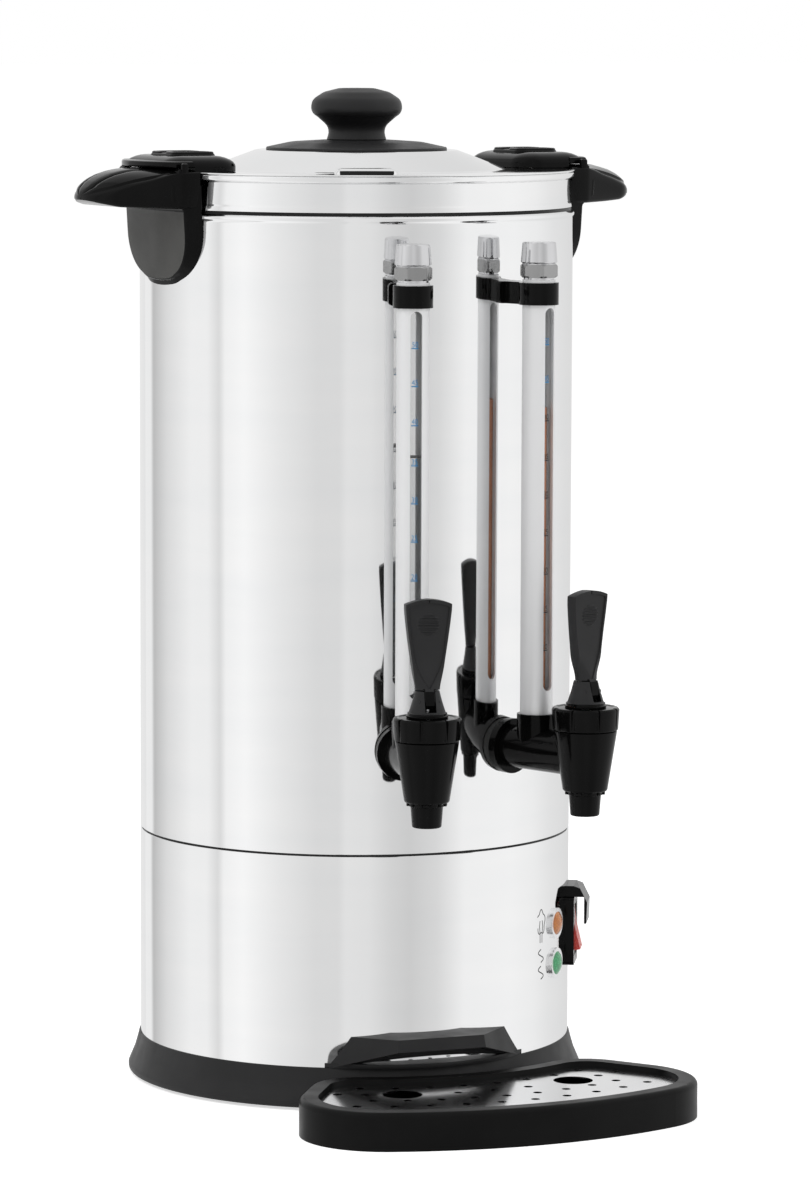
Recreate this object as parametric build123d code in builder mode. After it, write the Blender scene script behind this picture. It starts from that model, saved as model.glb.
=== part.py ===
from build123d import *
import os
from math import cos, radians, sin, sqrt

# Hot water urn with two taps, two sight gauges, a lift-off lid and a drip tray.
# Millimetres, +Z up, front towards -Y. The origin is the centre of the base plate's
# underside, on the urn's own axis; the rubber feet stand foot_height below it.
# A heading is an angle from the front, in degrees, positive towards +X.

# ---------------------------------------------------------------- driving dimensions
sheet = 0.8
plate = 1.2
clearance = 0.2
running = 0.07
foot_height = 1.5

body_radius = 112.0
base_height = 20.0
base_radius = body_radius + 6.5
base_lip = 0.6
base_spigot = 8.0
base_wall = 3.5
seam_height = 128.7
joint_overlap = 11.3
rim_height = 466.0
shell_top = rim_height - 16.0
rim_bead = 3.5
rim_radius = body_radius + 1.0

tank_radius = body_radius - 9.5

tap_angle = 15.5
tap_reach = body_radius + 56.5
outlet_height = 181.0
tank_floor = outlet_height - 21.0
outlet_bore = 4.5
riser_bore = outlet_bore - 0.5
nozzle_bottom = outlet_height - 30.0
gauge_reach = body_radius + 21.7
nozzle_length = 10.0
tap_seam = outlet_height + 13.2
cap_height = 11.6
lever_travel = 35.0

gauge_top = rim_height - 48.0
gauge_radius = 8.25
glass_radius = 6.2

plateau_radius = body_radius - 60.0
plateau_height = rim_height + 14.0
slope_foot = body_radius - 34.0

handle_reach = body_radius + 45.0
handle_half_width = 36.5
handle_bottom = rim_height - 53.5
grip_underside = rim_height - 14.5
grip_crest = rim_height + 6.3

tray_back = base_radius + 5.5
tray_front = tray_back + 95.0
tray_half_angle = 34.7
tray_turn = -4.2
tray_shift = 8.0
tray_height = 17.6
tray_rim = 9.5

switch_heading = 56.0
switch_height = 75.3
lamp_heading = 39.7
amber_height = 83.0
green_height = 62.2

gland_height = 45.0

holder_heading = -6.5
holder_peg = 2.0
holder_peg_height = base_height + 10.5
holder_peg_spread = 14.0

# ---------------------------------------------------------------- worked-out sizes
housing_inner = body_radius - sheet
tank_outer = tank_radius + sheet
rim_top = rim_height + rim_bead
tank_underside = tank_floor - sheet
plate_radius = base_radius - 12.5
ledge_inner = plate_radius - 7.0
ledge_top = plate + 8.0


def heading(angle, radius=1.0, height=0.0):
    """The point at this heading, radius and height."""
    return Vector(radius * sin(radians(angle)), -radius * cos(radians(angle)), height)


def across(angle):
    """The unit vector to the right of a heading, seen from outside."""
    return Vector(cos(radians(angle)), sin(radians(angle)), 0)


def flat(angle, radius, height):
    """A level plane: x outward along the heading, y across it."""
    return Plane(origin=heading(angle, radius, height), x_dir=heading(angle), z_dir=(0, 0, 1))


def upright(angle, radius=0.0):
    """A vertical plane through the urn's axis: x outward, y up."""
    return Plane(origin=heading(angle, radius), x_dir=heading(angle), z_dir=-across(angle))


def facing(angle, radius, height):
    """A vertical plane square to the heading: x across, y up, normal outward."""
    return Plane(origin=heading(angle, radius, height), x_dir=across(angle), z_dir=heading(angle))


def upright_axis(angle, radius):
    return Axis(heading(angle, radius), (0, 0, 1))


def drum(radius, low, high, mode=Mode.SUBTRACT):
    """A cylinder about the urn's axis between two heights."""
    with BuildSketch(Plane.XY.offset(low)) as disc:
        Circle(radius)
    extrude(disc.sketch, amount=high - low, mode=mode)


pieces = {}
tap_sides = {"left": -tap_angle, "right": tap_angle}
handle_sides = {"left": -90.0, "right": 90.0}

# ---------------------------------------------------------------- base
screw_radius = 1.75
screw_head_radius = 3.5
screw_head = 1.2
screw_length = 7.0
screw_circle = (ledge_inner + plate_radius) / 2
foot_circle = body_radius - 26.0
foot_radius = 8.0
foot_stem = 3.0
tie_circle = body_radius - 24.0
tie_radius = 4.0
tie_start = 30.0
slot_circle = foot_circle - 41.0
pad_radius = slot_circle - 15.0
pad_groove = 2.0

with BuildPart() as base_ring:
    with BuildSketch(Plane.XZ):
        with BuildLine():
            Line((plate_radius, 0), (base_radius - 1.5, 0))
            ThreePointArc(
                (base_radius - 1.5, 0),
                (base_radius - 0.4, 0.4),
                (base_radius, 1.5),
            )
            ThreePointArc(
                (base_radius, 1.5),
                (base_radius - 3.9, base_height * 0.5),
                (body_radius + base_lip, base_height),
            )
            Polyline(
                (body_radius + base_lip, base_height),
                (housing_inner - clearance, base_height),
                (housing_inner - clearance, base_height + base_spigot),
                (housing_inner - clearance - base_wall, base_height + base_spigot),
                (housing_inner - clearance - base_wall, ledge_top),
                (ledge_inner, ledge_top),
                (ledge_inner, plate),
                (plate_radius, plate),
                (plate_radius, 0),
            )
        make_face()
    revolve(axis=Axis.Z)
    with BuildSketch(Plane.XZ):
        with BuildLine():
            Polyline(
                (plate_radius + base_wall, 0),
                (base_radius - base_wall, 0),
                (plate_radius + base_wall + 1.5, base_height * 0.7),
                (plate_radius + base_wall, base_height * 0.7),
                close=True,
            )
        make_face()
    revolve(axis=Axis.Z, mode=Mode.SUBTRACT)
    with BuildSketch(Plane.XY.offset(plate)):
        with PolarLocations(screw_circle, 4):
            Circle(screw_radius)
    extrude(amount=screw_length, mode=Mode.SUBTRACT)
pieces["base_ring"] = base_ring

with BuildPart() as base_plate:
    with BuildSketch():
        Circle(plate_radius - clearance)
        with PolarLocations(screw_circle, 4):
            Circle(screw_radius + clearance, mode=Mode.SUBTRACT)
        with PolarLocations(foot_circle, 4, start_angle=45):
            Circle(foot_stem, mode=Mode.SUBTRACT)
        with PolarLocations(tie_circle, 3, start_angle=tie_start):
            Circle(screw_radius + clearance, mode=Mode.SUBTRACT)
        with PolarLocations(slot_circle, 12):
            SlotOverall(16, 3, mode=Mode.SUBTRACT)
    extrude(amount=plate)
    with BuildSketch():
        Circle(pad_radius + pad_groove)
        Circle(pad_radius, mode=Mode.SUBTRACT)
    extrude(amount=plate / 2, mode=Mode.SUBTRACT)
pieces["base_plate"] = base_plate

with BuildPart() as rubber_feet:
    with BuildSketch(Plane.XY.offset(-foot_height)):
        with PolarLocations(foot_circle, 4, start_angle=45):
            Circle(foot_radius)
    extrude(amount=foot_height)
    with BuildSketch(Plane.XY):
        with PolarLocations(foot_circle, 4, start_angle=45):
            Circle(foot_stem)
    extrude(amount=plate)
    with BuildSketch(Plane.XY.offset(plate)):
        with PolarLocations(foot_circle, 4, start_angle=45):
            Circle(foot_stem + 1.5)
    extrude(amount=3, taper=25)
pieces["rubber_feet"] = rubber_feet

with BuildPart() as base_screws:
    with BuildSketch(Plane.XY.offset(-screw_head)):
        with PolarLocations(screw_circle, 4):
            Circle(screw_head_radius)
        with PolarLocations(tie_circle, 3, start_angle=tie_start):
            Circle(screw_head_radius)
    extrude(amount=screw_head)
    with BuildSketch(Plane.XY):
        with PolarLocations(screw_circle, 4):
            Circle(screw_radius)
        with PolarLocations(tie_circle, 3, start_angle=tie_start):
            Circle(screw_radius)
    extrude(amount=plate + screw_length)
    with BuildSketch(Plane.XY.offset(-screw_head)):
        with PolarLocations(screw_circle, 4):
            Rectangle(4, 0.8)
            Rectangle(0.8, 4)
        with PolarLocations(tie_circle, 3, start_angle=tie_start):
            Rectangle(4, 0.8)
            Rectangle(0.8, 4)
    extrude(amount=screw_head / 2, mode=Mode.SUBTRACT)
pieces["base_screws"] = base_screws

with BuildPart() as tie_rods:
    with BuildSketch(Plane.XY.offset(plate)):
        with PolarLocations(tie_circle, 3, start_angle=tie_start):
            Circle(tie_radius)
    extrude(amount=tank_underside - plate)
    with BuildSketch(Plane.XY.offset(plate)):
        with PolarLocations(tie_circle, 3, start_angle=tie_start):
            Circle(screw_radius)
    extrude(amount=screw_length, mode=Mode.SUBTRACT)
pieces["tie_rods"] = tie_rods

# ---------------------------------------------------------------- lower housing
switch_width = 26.0
switch_frame = 35.6
switch_face = body_radius + 4.2
switch_body_width = 22.0
switch_body_height = 30.0
switch_body_depth = 24.0
lamp_radius = 6.0
lamp_bezel_radius = 7.9
gland_radius = 8.0
gland_bore = 3.8
gland_flats = 22.0
lip_radius = housing_inner - 0.1
lamp_heights = (amber_height, green_height)

with BuildPart() as lower_housing:
    with BuildSketch(Plane.XZ):
        with BuildLine():
            Polyline(
                (housing_inner, base_height),
                (body_radius, base_height),
                (body_radius, seam_height - 0.8),
                (body_radius - 0.5, seam_height),
                (lip_radius, seam_height),
                (lip_radius, seam_height + joint_overlap),
                (lip_radius - sheet, seam_height + joint_overlap),
                (lip_radius - sheet, seam_height - 0.8),
                (housing_inner, seam_height - 1.8),
                close=True,
            )
        make_face()
    revolve(axis=Axis.Z)
    with BuildSketch(facing(switch_heading, tank_radius, switch_height)):
        Rectangle(switch_body_width + 2 * clearance, switch_body_height + 2 * clearance)
    extrude(amount=2 * (body_radius - tank_radius), mode=Mode.SUBTRACT)
    for lamp_height in lamp_heights:
        with BuildSketch(facing(lamp_heading, tank_radius, lamp_height)):
            Circle(lamp_radius)
        extrude(amount=2 * (body_radius - tank_radius), mode=Mode.SUBTRACT)
    with BuildSketch(facing(180, tank_radius, gland_height)):
        Circle(gland_radius + clearance)
    extrude(amount=2 * (body_radius - tank_radius), mode=Mode.SUBTRACT)
    with BuildSketch(facing(holder_heading, tank_radius, holder_peg_height)):
        with Locations((holder_peg_spread, 0), (-holder_peg_spread, 0)):
            Circle(holder_peg + clearance)
    extrude(amount=2 * (body_radius - tank_radius), mode=Mode.SUBTRACT)
pieces["lower_housing"] = lower_housing

# ---------------------------------------------------------------- outer shell, collar and tank
bead = 0.8
bead_height = 3.8
spigot_radius = 6.0
clip_low = gauge_top - 12.5
clip_high = clip_low + 11.1
clip_stud = 2.5
handle_screw_radius = 2.0
handle_screw_high = shell_top - joint_overlap - 2 * handle_screw_radius - 1.2
handle_screw_heights = (handle_screw_high - 11.0, handle_screw_high)
lip_above = 2.6

with BuildPart() as body_shell:
    with BuildSketch(Plane.XZ):
        with BuildLine():
            Polyline(
                (housing_inner, seam_height),
                (body_radius - 0.5, seam_height),
                (body_radius, seam_height + 0.8),
                (body_radius, shell_top - bead_height),
                (body_radius + bead * 0.8, shell_top - bead_height * 0.8),
                (body_radius + bead, shell_top - bead_height * 0.5),
                (body_radius + bead * 0.5, shell_top - 0.6),
                (body_radius - 0.4, shell_top),
                (housing_inner, shell_top),
                close=True,
            )
        make_face()
    revolve(axis=Axis.Z)
    for tap_heading in tap_sides.values():
        with BuildSketch(facing(tap_heading, tank_radius, outlet_height)):
            Circle(spigot_radius + clearance)
        extrude(amount=2 * (body_radius - tank_radius), mode=Mode.SUBTRACT)
        with BuildSketch(facing(tap_heading, tank_radius, (clip_low + clip_high) / 2)):
            Circle(clip_stud + 0.1)
        extrude(amount=2 * (body_radius - tank_radius), mode=Mode.SUBTRACT)
    for handle_heading in handle_sides.values():
        for screw_height in handle_screw_heights:
            with BuildSketch(facing(handle_heading, tank_radius, screw_height)):
                Circle(handle_screw_radius + clearance)
            extrude(amount=2 * (body_radius - tank_radius), mode=Mode.SUBTRACT)
pieces["body_shell"] = body_shell

with BuildPart() as top_collar:
    with BuildSketch(Plane.XZ):
        with BuildLine():
            Polyline(
                (lip_radius - sheet, shell_top - joint_overlap),
                (lip_radius, shell_top - joint_overlap),
                (lip_radius, shell_top),
                (body_radius - 0.3, shell_top),
                (body_radius, shell_top + 0.8),
                (body_radius - 0.3, shell_top + 2),
                (lip_radius, shell_top + lip_above),
                (lip_radius - 0.5, rim_height),
                (tank_outer + clearance, rim_height),
                (tank_outer + clearance, rim_height - sheet),
                (lip_radius - sheet - 0.5, rim_height - sheet),
                (lip_radius - sheet, shell_top + lip_above),
                close=True,
            )
        make_face()
    revolve(axis=Axis.Z)
pieces["top_collar"] = top_collar

with BuildPart() as inner_tank:
    with BuildSketch(Plane.XZ):
        with BuildLine():
            Polyline(
                (0, tank_underside),
                (tank_outer - 2.4, tank_underside),
                (tank_outer, tank_underside + 2.4),
                (tank_outer, rim_height),
                (rim_radius - 1.5, rim_height),
                (rim_radius, rim_height + 1.2),
                (rim_radius, rim_top - 0.9),
                (rim_radius - 0.8, rim_top),
                (rim_radius - 2.4, rim_top),
                (rim_radius - 3.2, rim_top - 0.9),
                (rim_radius - 3.2, rim_height + sheet),
                (tank_radius, rim_height + sheet),
                (tank_radius, tank_floor + 2),
                (tank_radius - 2, tank_floor),
                (0, tank_floor),
                close=True,
            )
        make_face()
    revolve(axis=Axis.Z)
    for tap_heading in tap_sides.values():
        with BuildSketch(facing(tap_heading, tank_radius - 10, outlet_height)):
            Circle(spigot_radius + clearance)
        extrude(amount=15, mode=Mode.SUBTRACT)
pieces["inner_tank"] = inner_tank

divider_thickness = 1.0
divider_top = shell_top - 10.0

with BuildPart() as tank_divider:
    with BuildSketch(Plane.YZ.offset(-divider_thickness / 2)):
        with BuildLine():
            Polyline(
                (-tank_radius + clearance, tank_floor + 2.4),
                (-tank_radius + clearance, divider_top),
                (tank_radius - clearance, divider_top),
                (tank_radius - clearance, tank_floor + 2.4),
                (tank_radius - 2.6, tank_floor),
                (-tank_radius + 2.6, tank_floor),
                close=True,
            )
        make_face()
    extrude(amount=divider_thickness)
pieces["tank_divider"] = tank_divider

# ---------------------------------------------------------------- heater
heater_plate_radius = body_radius - 36.0
heater_plate_thickness = 6.0
heater_low = tank_underside - heater_plate_thickness
tube_ring = heater_plate_radius - 16.0
tube_radius = 4.0
tube_gap = 30.0
sensor_radius = 8.0
sensor_height = 7.0
cutout_offset = 26.0

with BuildPart() as heater_plate:
    with BuildSketch(Plane.XY.offset(heater_low)):
        Circle(heater_plate_radius)
    extrude(amount=heater_plate_thickness)
pieces["heater_plate"] = heater_plate

with BuildPart() as heating_tube:
    with BuildSketch(Plane.XZ):
        with Locations((tube_ring, heater_low - tube_radius + 1)):
            Circle(tube_radius)
        with Locations((tube_ring, heater_low + tube_radius)):
            Rectangle(2 * tube_radius, 2 * tube_radius, mode=Mode.SUBTRACT)
    revolve(axis=Axis.Z, revolution_arc=360 - tube_gap)
    tube_ends = [(tube_ring, 0), (tube_ring * cos(radians(tube_gap)), tube_ring * sin(radians(tube_gap)))]
    with BuildSketch(Plane.XY.offset(heater_low - 0.5)):
        with Locations(*tube_ends):
            Circle(tube_radius - 1.2)
    extrude(amount=-22)
    with BuildSketch(Plane.XY.offset(heater_low - 22)):
        with Locations(*tube_ends):
            Rectangle(6, 0.8)
    extrude(amount=-9)
pieces["heating_tube"] = heating_tube

for sensor_name, sensor_x in (("thermostat", 0.0), ("thermal_cutout", cutout_offset)):
    with BuildPart() as sensor:
        with BuildSketch(Plane.XY.offset(heater_low)):
            with Locations((sensor_x, 0)):
                Circle(sensor_radius)
        extrude(amount=-sensor_height)
        with BuildSketch(Plane.XY.offset(heater_low)):
            with Locations((sensor_x, 0)):
                SlotOverall(24, 6, rotation=90)
        extrude(amount=-plate)
        with BuildSketch(Plane.XY.offset(heater_low - sensor_height)):
            with Locations((sensor_x - 4, 0), (sensor_x + 4, 0)):
                Rectangle(0.8, 6)
        extrude(amount=-8)
    pieces[sensor_name] = sensor

# ---------------------------------------------------------------- cord gland
gland_tail = body_radius + 18.0

with BuildPart() as cord_gland:
    with BuildSketch(facing(180, body_radius - 3, gland_height)):
        RegularPolygon(gland_flats / 2, 6, major_radius=False)
    extrude(amount=8)
    drum(body_radius, 0, seam_height)
    with BuildSketch(facing(180, body_radius + 4.9, gland_height)):
        Circle(gland_radius)
    extrude(amount=gland_tail - body_radius - 4.9, taper=8)
    with BuildSketch(facing(180, body_radius - 15, gland_height)):
        Circle(gland_radius)
    extrude(amount=20)
    with BuildSketch(facing(180, body_radius - 16, gland_height)):
        Circle(gland_bore)
    extrude(amount=gland_tail - body_radius + 20, mode=Mode.SUBTRACT)
pieces["cord_gland"] = cord_gland

with BuildPart() as gland_nut:
    with BuildSketch(facing(180, housing_inner - 7, gland_height)):
        RegularPolygon(gland_flats / 2, 6, major_radius=False)
        Circle(gland_radius, mode=Mode.SUBTRACT)
    extrude(amount=8)
    drum(housing_inner, 0, seam_height, mode=Mode.INTERSECT)
pieces["gland_nut"] = gland_nut

# ---------------------------------------------------------------- switch and lamps
pocket_width = 15.0
pocket_height = 27.2
rocker_width = pocket_width - 0.6
pivot_depth = 6.6
pivot_radius = 1.5
rocker_pivot = switch_face - pivot_depth
rocker_rest = 10.0
cover_reach = 4.8
cover_wall = 0.8
hood_width = 21.0

with BuildPart() as switch_body:
    with BuildSketch(facing(switch_heading, body_radius - 6, switch_height)):
        RectangleRounded(switch_width, switch_frame, 2)
    extrude(amount=switch_face - body_radius + 6)
    drum(body_radius, 0, seam_height)
    with BuildSketch(facing(switch_heading, body_radius - switch_body_depth, switch_height)):
        Rectangle(switch_body_width, switch_body_height)
    extrude(amount=switch_body_depth + 1)
    with BuildSketch(facing(switch_heading, switch_face - 15.5, switch_height)):
        Rectangle(pocket_width, pocket_height)
    extrude(amount=20, mode=Mode.SUBTRACT)
    with BuildSketch(Plane(heading(switch_heading, rocker_pivot, switch_height), z_dir=across(switch_heading))):
        Circle(pivot_radius + running)
    extrude(amount=pocket_width / 2 + 1.2, both=True, mode=Mode.SUBTRACT)
    with BuildSketch(facing(switch_heading, body_radius - switch_body_depth, switch_height)):
        with GridLocations(0, 9, 1, 3):
            Rectangle(6.3, 0.8)
    extrude(amount=-8)
pieces["switch_body"] = switch_body

rocker_plane = Plane(
    heading(switch_heading, rocker_pivot, switch_height),
    x_dir=heading(switch_heading, cos(radians(rocker_rest)), sin(radians(rocker_rest))),
    z_dir=-across(switch_heading),
)

with BuildPart() as rocker:
    with BuildSketch(rocker_plane):
        with BuildLine():
            Polyline(
                (pivot_depth + 1.1, 11.6),
                (2.0, 11.6),
                (-2.8, 5),
                (-2.8, -5),
                (2.0, -11.6),
                (pivot_depth + 1.1, -11.6),
                (pivot_depth + 0.4, 0),
                close=True,
            )
        make_face()
    extrude(amount=rocker_width / 2, both=True)
    with BuildSketch(rocker_plane):
        Circle(pivot_radius)
    extrude(amount=rocker_width / 2 + 1, both=True)
pieces["rocker"] = rocker

with BuildPart() as splash_cover:
    with BuildSketch(facing(switch_heading, switch_face, switch_height)):
        RectangleRounded(19.6, 31.2, 2)
    extrude(amount=cover_reach, taper=6)
    with BuildSketch(facing(switch_heading, switch_face, switch_height)):
        RectangleRounded(19.6 - 2 * cover_wall, 31.2 - 2 * cover_wall, 1.4)
    extrude(amount=cover_reach - cover_wall, taper=6, mode=Mode.SUBTRACT)
pieces["splash_cover"] = splash_cover

hood_low = switch_height + switch_frame / 2 + clearance
hood_top = hood_low + 5.7
cover_face = switch_face + cover_reach
flap_low = switch_height + 4.0

with BuildPart() as switch_hood:
    with BuildSketch(upright(switch_heading)):
        with BuildLine():
            Polyline(
                (body_radius - 4, hood_low),
                (body_radius - 4, hood_top),
                (cover_face - 5.2, hood_top),
                (cover_face - 1.8, hood_top - 1.2),
                (cover_face + 1.9, hood_top - 8.6),
                (cover_face + 1.5, flap_low),
                (cover_face + 0.3, flap_low),
                (cover_face + 0.3, hood_low),
                close=True,
            )
        make_face()
    extrude(amount=hood_width / 2, both=True)
    with BuildSketch(upright(switch_heading)):
        with BuildLine():
            Polyline(
                (body_radius + 2, hood_low),
                (body_radius + 2, hood_top - 1.6),
                (cover_face - 5.8, hood_top - 1.6),
                (cover_face - 3, hood_top - 2.6),
                (cover_face - 0.6, hood_low),
                close=True,
            )
        make_face()
    extrude(amount=hood_width / 2 - 1.4, both=True, mode=Mode.SUBTRACT)
    drum(body_radius, 0, seam_height)
pieces["switch_hood"] = switch_hood

lens_dome = 2.2
lens_curve = (lamp_radius**2 + lens_dome**2) / (2 * lens_dome)
lamp_bezel_reach = body_radius + 1.6

with BuildPart() as lamp_bezels:
    for lamp_height in lamp_heights:
        with BuildSketch(facing(lamp_heading, body_radius - 4, lamp_height)):
            Circle(lamp_bezel_radius)
            Circle(lamp_radius, mode=Mode.SUBTRACT)
        extrude(amount=lamp_bezel_reach - body_radius + 4)
    drum(body_radius, 0, seam_height)
pieces["lamp_bezels"] = lamp_bezels

for lens_name, lamp_height in (("amber_lens", amber_height), ("green_lens", green_height)):
    with BuildPart() as lens:
        with BuildSketch(upright(lamp_heading)):
            with BuildLine():
                Line((body_radius - 14, lamp_height), (body_radius - 14, lamp_height + lamp_radius))
                Line(
                    (body_radius - 14, lamp_height + lamp_radius),
                    (lamp_bezel_reach, lamp_height + lamp_radius),
                )
                RadiusArc(
                    (lamp_bezel_reach, lamp_height + lamp_radius),
                    (lamp_bezel_reach + lens_dome, lamp_height),
                    lens_curve,
                )
                Line((lamp_bezel_reach + lens_dome, lamp_height), (body_radius - 14, lamp_height))
            make_face()
        revolve(axis=Axis(heading(lamp_heading, 0, lamp_height), heading(lamp_heading)))
    pieces[lens_name] = lens

# ---------------------------------------------------------------- handles
tongue_thickness = 3.4
tongue_foot = 1.3
tongue_draft = 36.0
tongue_root = tank_radius + 3.0
tongue_corner = 24.0
tip_half_width = 23.5
rim_room = rim_radius + 0.6
lug_height = grip_crest + 1.7
lug_reach = rim_radius + 5.5
screw_bite = 1.2
groove_offset = 7.5
crest_points = [
    (rim_room + 12, grip_crest),
    (handle_reach - 20, grip_crest - 1.3),
    (handle_reach - 9, grip_crest - 4.6),
    (handle_reach - 2.6, grip_crest - 9.6),
    (handle_reach, grip_crest - 13.8),
]


def handle(angle):
    """A hooked grip over a drafted tongue that lies against the shell."""
    with BuildPart() as grip:
        for plan_reach, plan_depth, draft in (
            (tank_radius, tongue_root - tank_radius, 0),
            (tongue_root, body_radius + tongue_thickness + 2 - tongue_root, tongue_draft),
        ):
            with BuildSketch(facing(angle, plan_reach, 0)) as tongue_plan:
                with Locations((0, (rim_height - 2 + handle_bottom) / 2)):
                    Rectangle(2 * handle_half_width, rim_height - 2 - handle_bottom)
                low_corners = tongue_plan.vertices().group_by(Axis.Y)[0]
                fillet(low_corners, tongue_corner)
            extrude(amount=plan_depth, taper=draft)
        with BuildSketch(flat(angle, 0, grip_underside - 1)):
            with BuildLine():
                Line((tank_radius, handle_half_width), (tank_radius, -handle_half_width))
                Line((tank_radius, -handle_half_width), (rim_room + 3, -handle_half_width))
                Line((rim_room + 3, -handle_half_width), (handle_reach - 12, -tip_half_width))
                Spline(
                    (handle_reach - 12, -tip_half_width),
                    (handle_reach - 3, -tip_half_width * 0.6),
                    (handle_reach, 0),
                    (handle_reach - 3, tip_half_width * 0.6),
                    (handle_reach - 12, tip_half_width),
                )
                Line((handle_reach - 12, tip_half_width), (rim_room + 3, handle_half_width))
                Line((rim_room + 3, handle_half_width), (tank_radius, handle_half_width))
            make_face()
        extrude(amount=grip_crest - grip_underside + 4)
        with BuildSketch(upright(angle)):
            with BuildLine():
                Polyline(
                    (handle_reach, grip_crest - 13.8),
                    (handle_reach - 1.5, grip_underside + 4.6),
                    (handle_reach - 5, grip_underside + 3),
                    (handle_reach - 12, grip_underside + 1.6),
                    (body_radius + tongue_thickness + 5, grip_underside),
                    (body_radius + tongue_thickness + 1.4, grip_underside - 1.6),
                    (body_radius + tongue_thickness, grip_underside - 5),
                    (body_radius + tongue_foot, handle_bottom),
                    (tank_radius, handle_bottom),
                    (tank_radius, grip_crest),
                    crest_points[0],
                )
                Spline(*crest_points, tangents=((1, 0), (0, -1)))
            make_face()
        extrude(amount=2 * handle_half_width, both=True, mode=Mode.INTERSECT)
        for lug_side in (-1, 1):
            with BuildSketch(flat(angle, (rim_room + lug_reach) / 2, rim_height)):
                with Locations((0, lug_side * (handle_half_width - 2.2))):
                    Rectangle(lug_reach - rim_room, 4)
            extrude(amount=lug_height - rim_height)
        drum(body_radius, handle_bottom - 5, rim_height - 2)
        drum(body_radius + bead + 0.1, shell_top - bead_height - 0.2, shell_top)
        drum(rim_room, rim_height - 2, lug_height + 5)
        for screw_height in handle_screw_heights:
            with BuildSketch(facing(angle, tank_radius, screw_height)):
                Circle(handle_screw_radius)
            extrude(amount=body_radius + screw_bite - tank_radius, mode=Mode.SUBTRACT)
        for groove_side in (-1, 1):
            groove_plane = upright(angle).offset(groove_side * groove_offset)
            with BuildSketch(groove_plane):
                with BuildLine():
                    Spline(
                        *[(x, z - 1.3) for x, z in crest_points[:-1]],
                        tangents=((1, 0), (0.6, -1)),
                    )
                    Polyline(
                        (crest_points[-2][0], crest_points[-2][1] - 1.3),
                        (handle_reach + 5, grip_crest - 13),
                        (handle_reach + 5, lug_height + 5),
                        (crest_points[0][0], lug_height + 5),
                        (crest_points[0][0], crest_points[0][1] - 1.3),
                    )
                make_face()
            extrude(amount=0.9, both=True, mode=Mode.SUBTRACT)
    return grip


for side, handle_heading in handle_sides.items():
    pieces[f"handle_{side}"] = handle(handle_heading)

with BuildPart() as handle_screws:
    for handle_heading in handle_sides.values():
        for screw_height in handle_screw_heights:
            with BuildSketch(facing(handle_heading, housing_inner - 2.6, screw_height)):
                Circle(2 * handle_screw_radius)
            extrude(amount=3)
    drum(housing_inner, handle_bottom, rim_height, mode=Mode.INTERSECT)
    for handle_heading in handle_sides.values():
        for screw_height in handle_screw_heights:
            with BuildSketch(facing(handle_heading, housing_inner - 2, screw_height)):
                Circle(handle_screw_radius)
            extrude(amount=body_radius + screw_bite - housing_inner + 2)
pieces["handle_screws"] = handle_screws

# ---------------------------------------------------------------- lid
skirt_radius = tank_radius - 1.0
skirt_low = rim_height - 8.0
flange_top = rim_top + sheet
lid_radius = rim_radius + 0.2
vent_heading = -25.0
vent_width = 30.0
vent_height = 2.5
vent_inner = body_radius - 22.0
lid_screw_radius = 2.0
wing_inner = body_radius - 31.5
wing_outer = body_radius + 10.0
wing_half_width = 31.8
wing_top = grip_crest + 3.5
wing_screw_reach = body_radius - 17.0
wing_screw_offset = 14.0
wing_flange_reach = body_radius + 15.5
wing_flange_curve = 62.0
thumb_reach = body_radius - 12.3
thumb_rise = 4.4
lid_outline = [
    (0, plateau_height),
    (plateau_radius, plateau_height),
    (slope_foot, flange_top),
    (lid_radius - 1, flange_top),
]

with BuildPart() as lid_pan:
    with BuildSketch(Plane.XZ):
        with BuildLine():
            Polyline(
                *lid_outline,
                (lid_radius, flange_top - 0.4),
                (lid_radius, rim_top),
                (slope_foot - 0.2, rim_top),
                (plateau_radius - 0.2, plateau_height - sheet),
                (0, plateau_height - sheet),
                close=True,
            )
        make_face()
        with Locations((skirt_radius - sheet / 2, (skirt_low + rim_top) / 2)):
            Rectangle(sheet, rim_top - skirt_low)
    revolve(axis=Axis.Z)
    with BuildSketch(flat(vent_heading, (vent_inner + lid_radius) / 2, rim_top)):
        Rectangle(lid_radius - vent_inner - 0.4, vent_width + 2 * sheet)
    extrude(amount=vent_height + sheet, taper=20)
    with BuildSketch(flat(vent_heading, (vent_inner + lid_radius) / 2 + 3, rim_top)):
        Rectangle(lid_radius - vent_inner + 4, vent_width)
    extrude(amount=vent_height, taper=20, mode=Mode.SUBTRACT)
    with BuildSketch(Plane.XY.offset(plateau_height)):
        Circle(lid_screw_radius + clearance)
    extrude(amount=-2, mode=Mode.SUBTRACT)
    for handle_heading in handle_sides.values():
        with BuildSketch(flat(handle_heading, wing_screw_reach, flange_top)):
            with Locations((0, wing_screw_offset), (0, -wing_screw_offset)):
                Circle(lid_screw_radius + clearance)
        extrude(amount=-2, mode=Mode.SUBTRACT)
pieces["lid_pan"] = lid_pan


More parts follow.
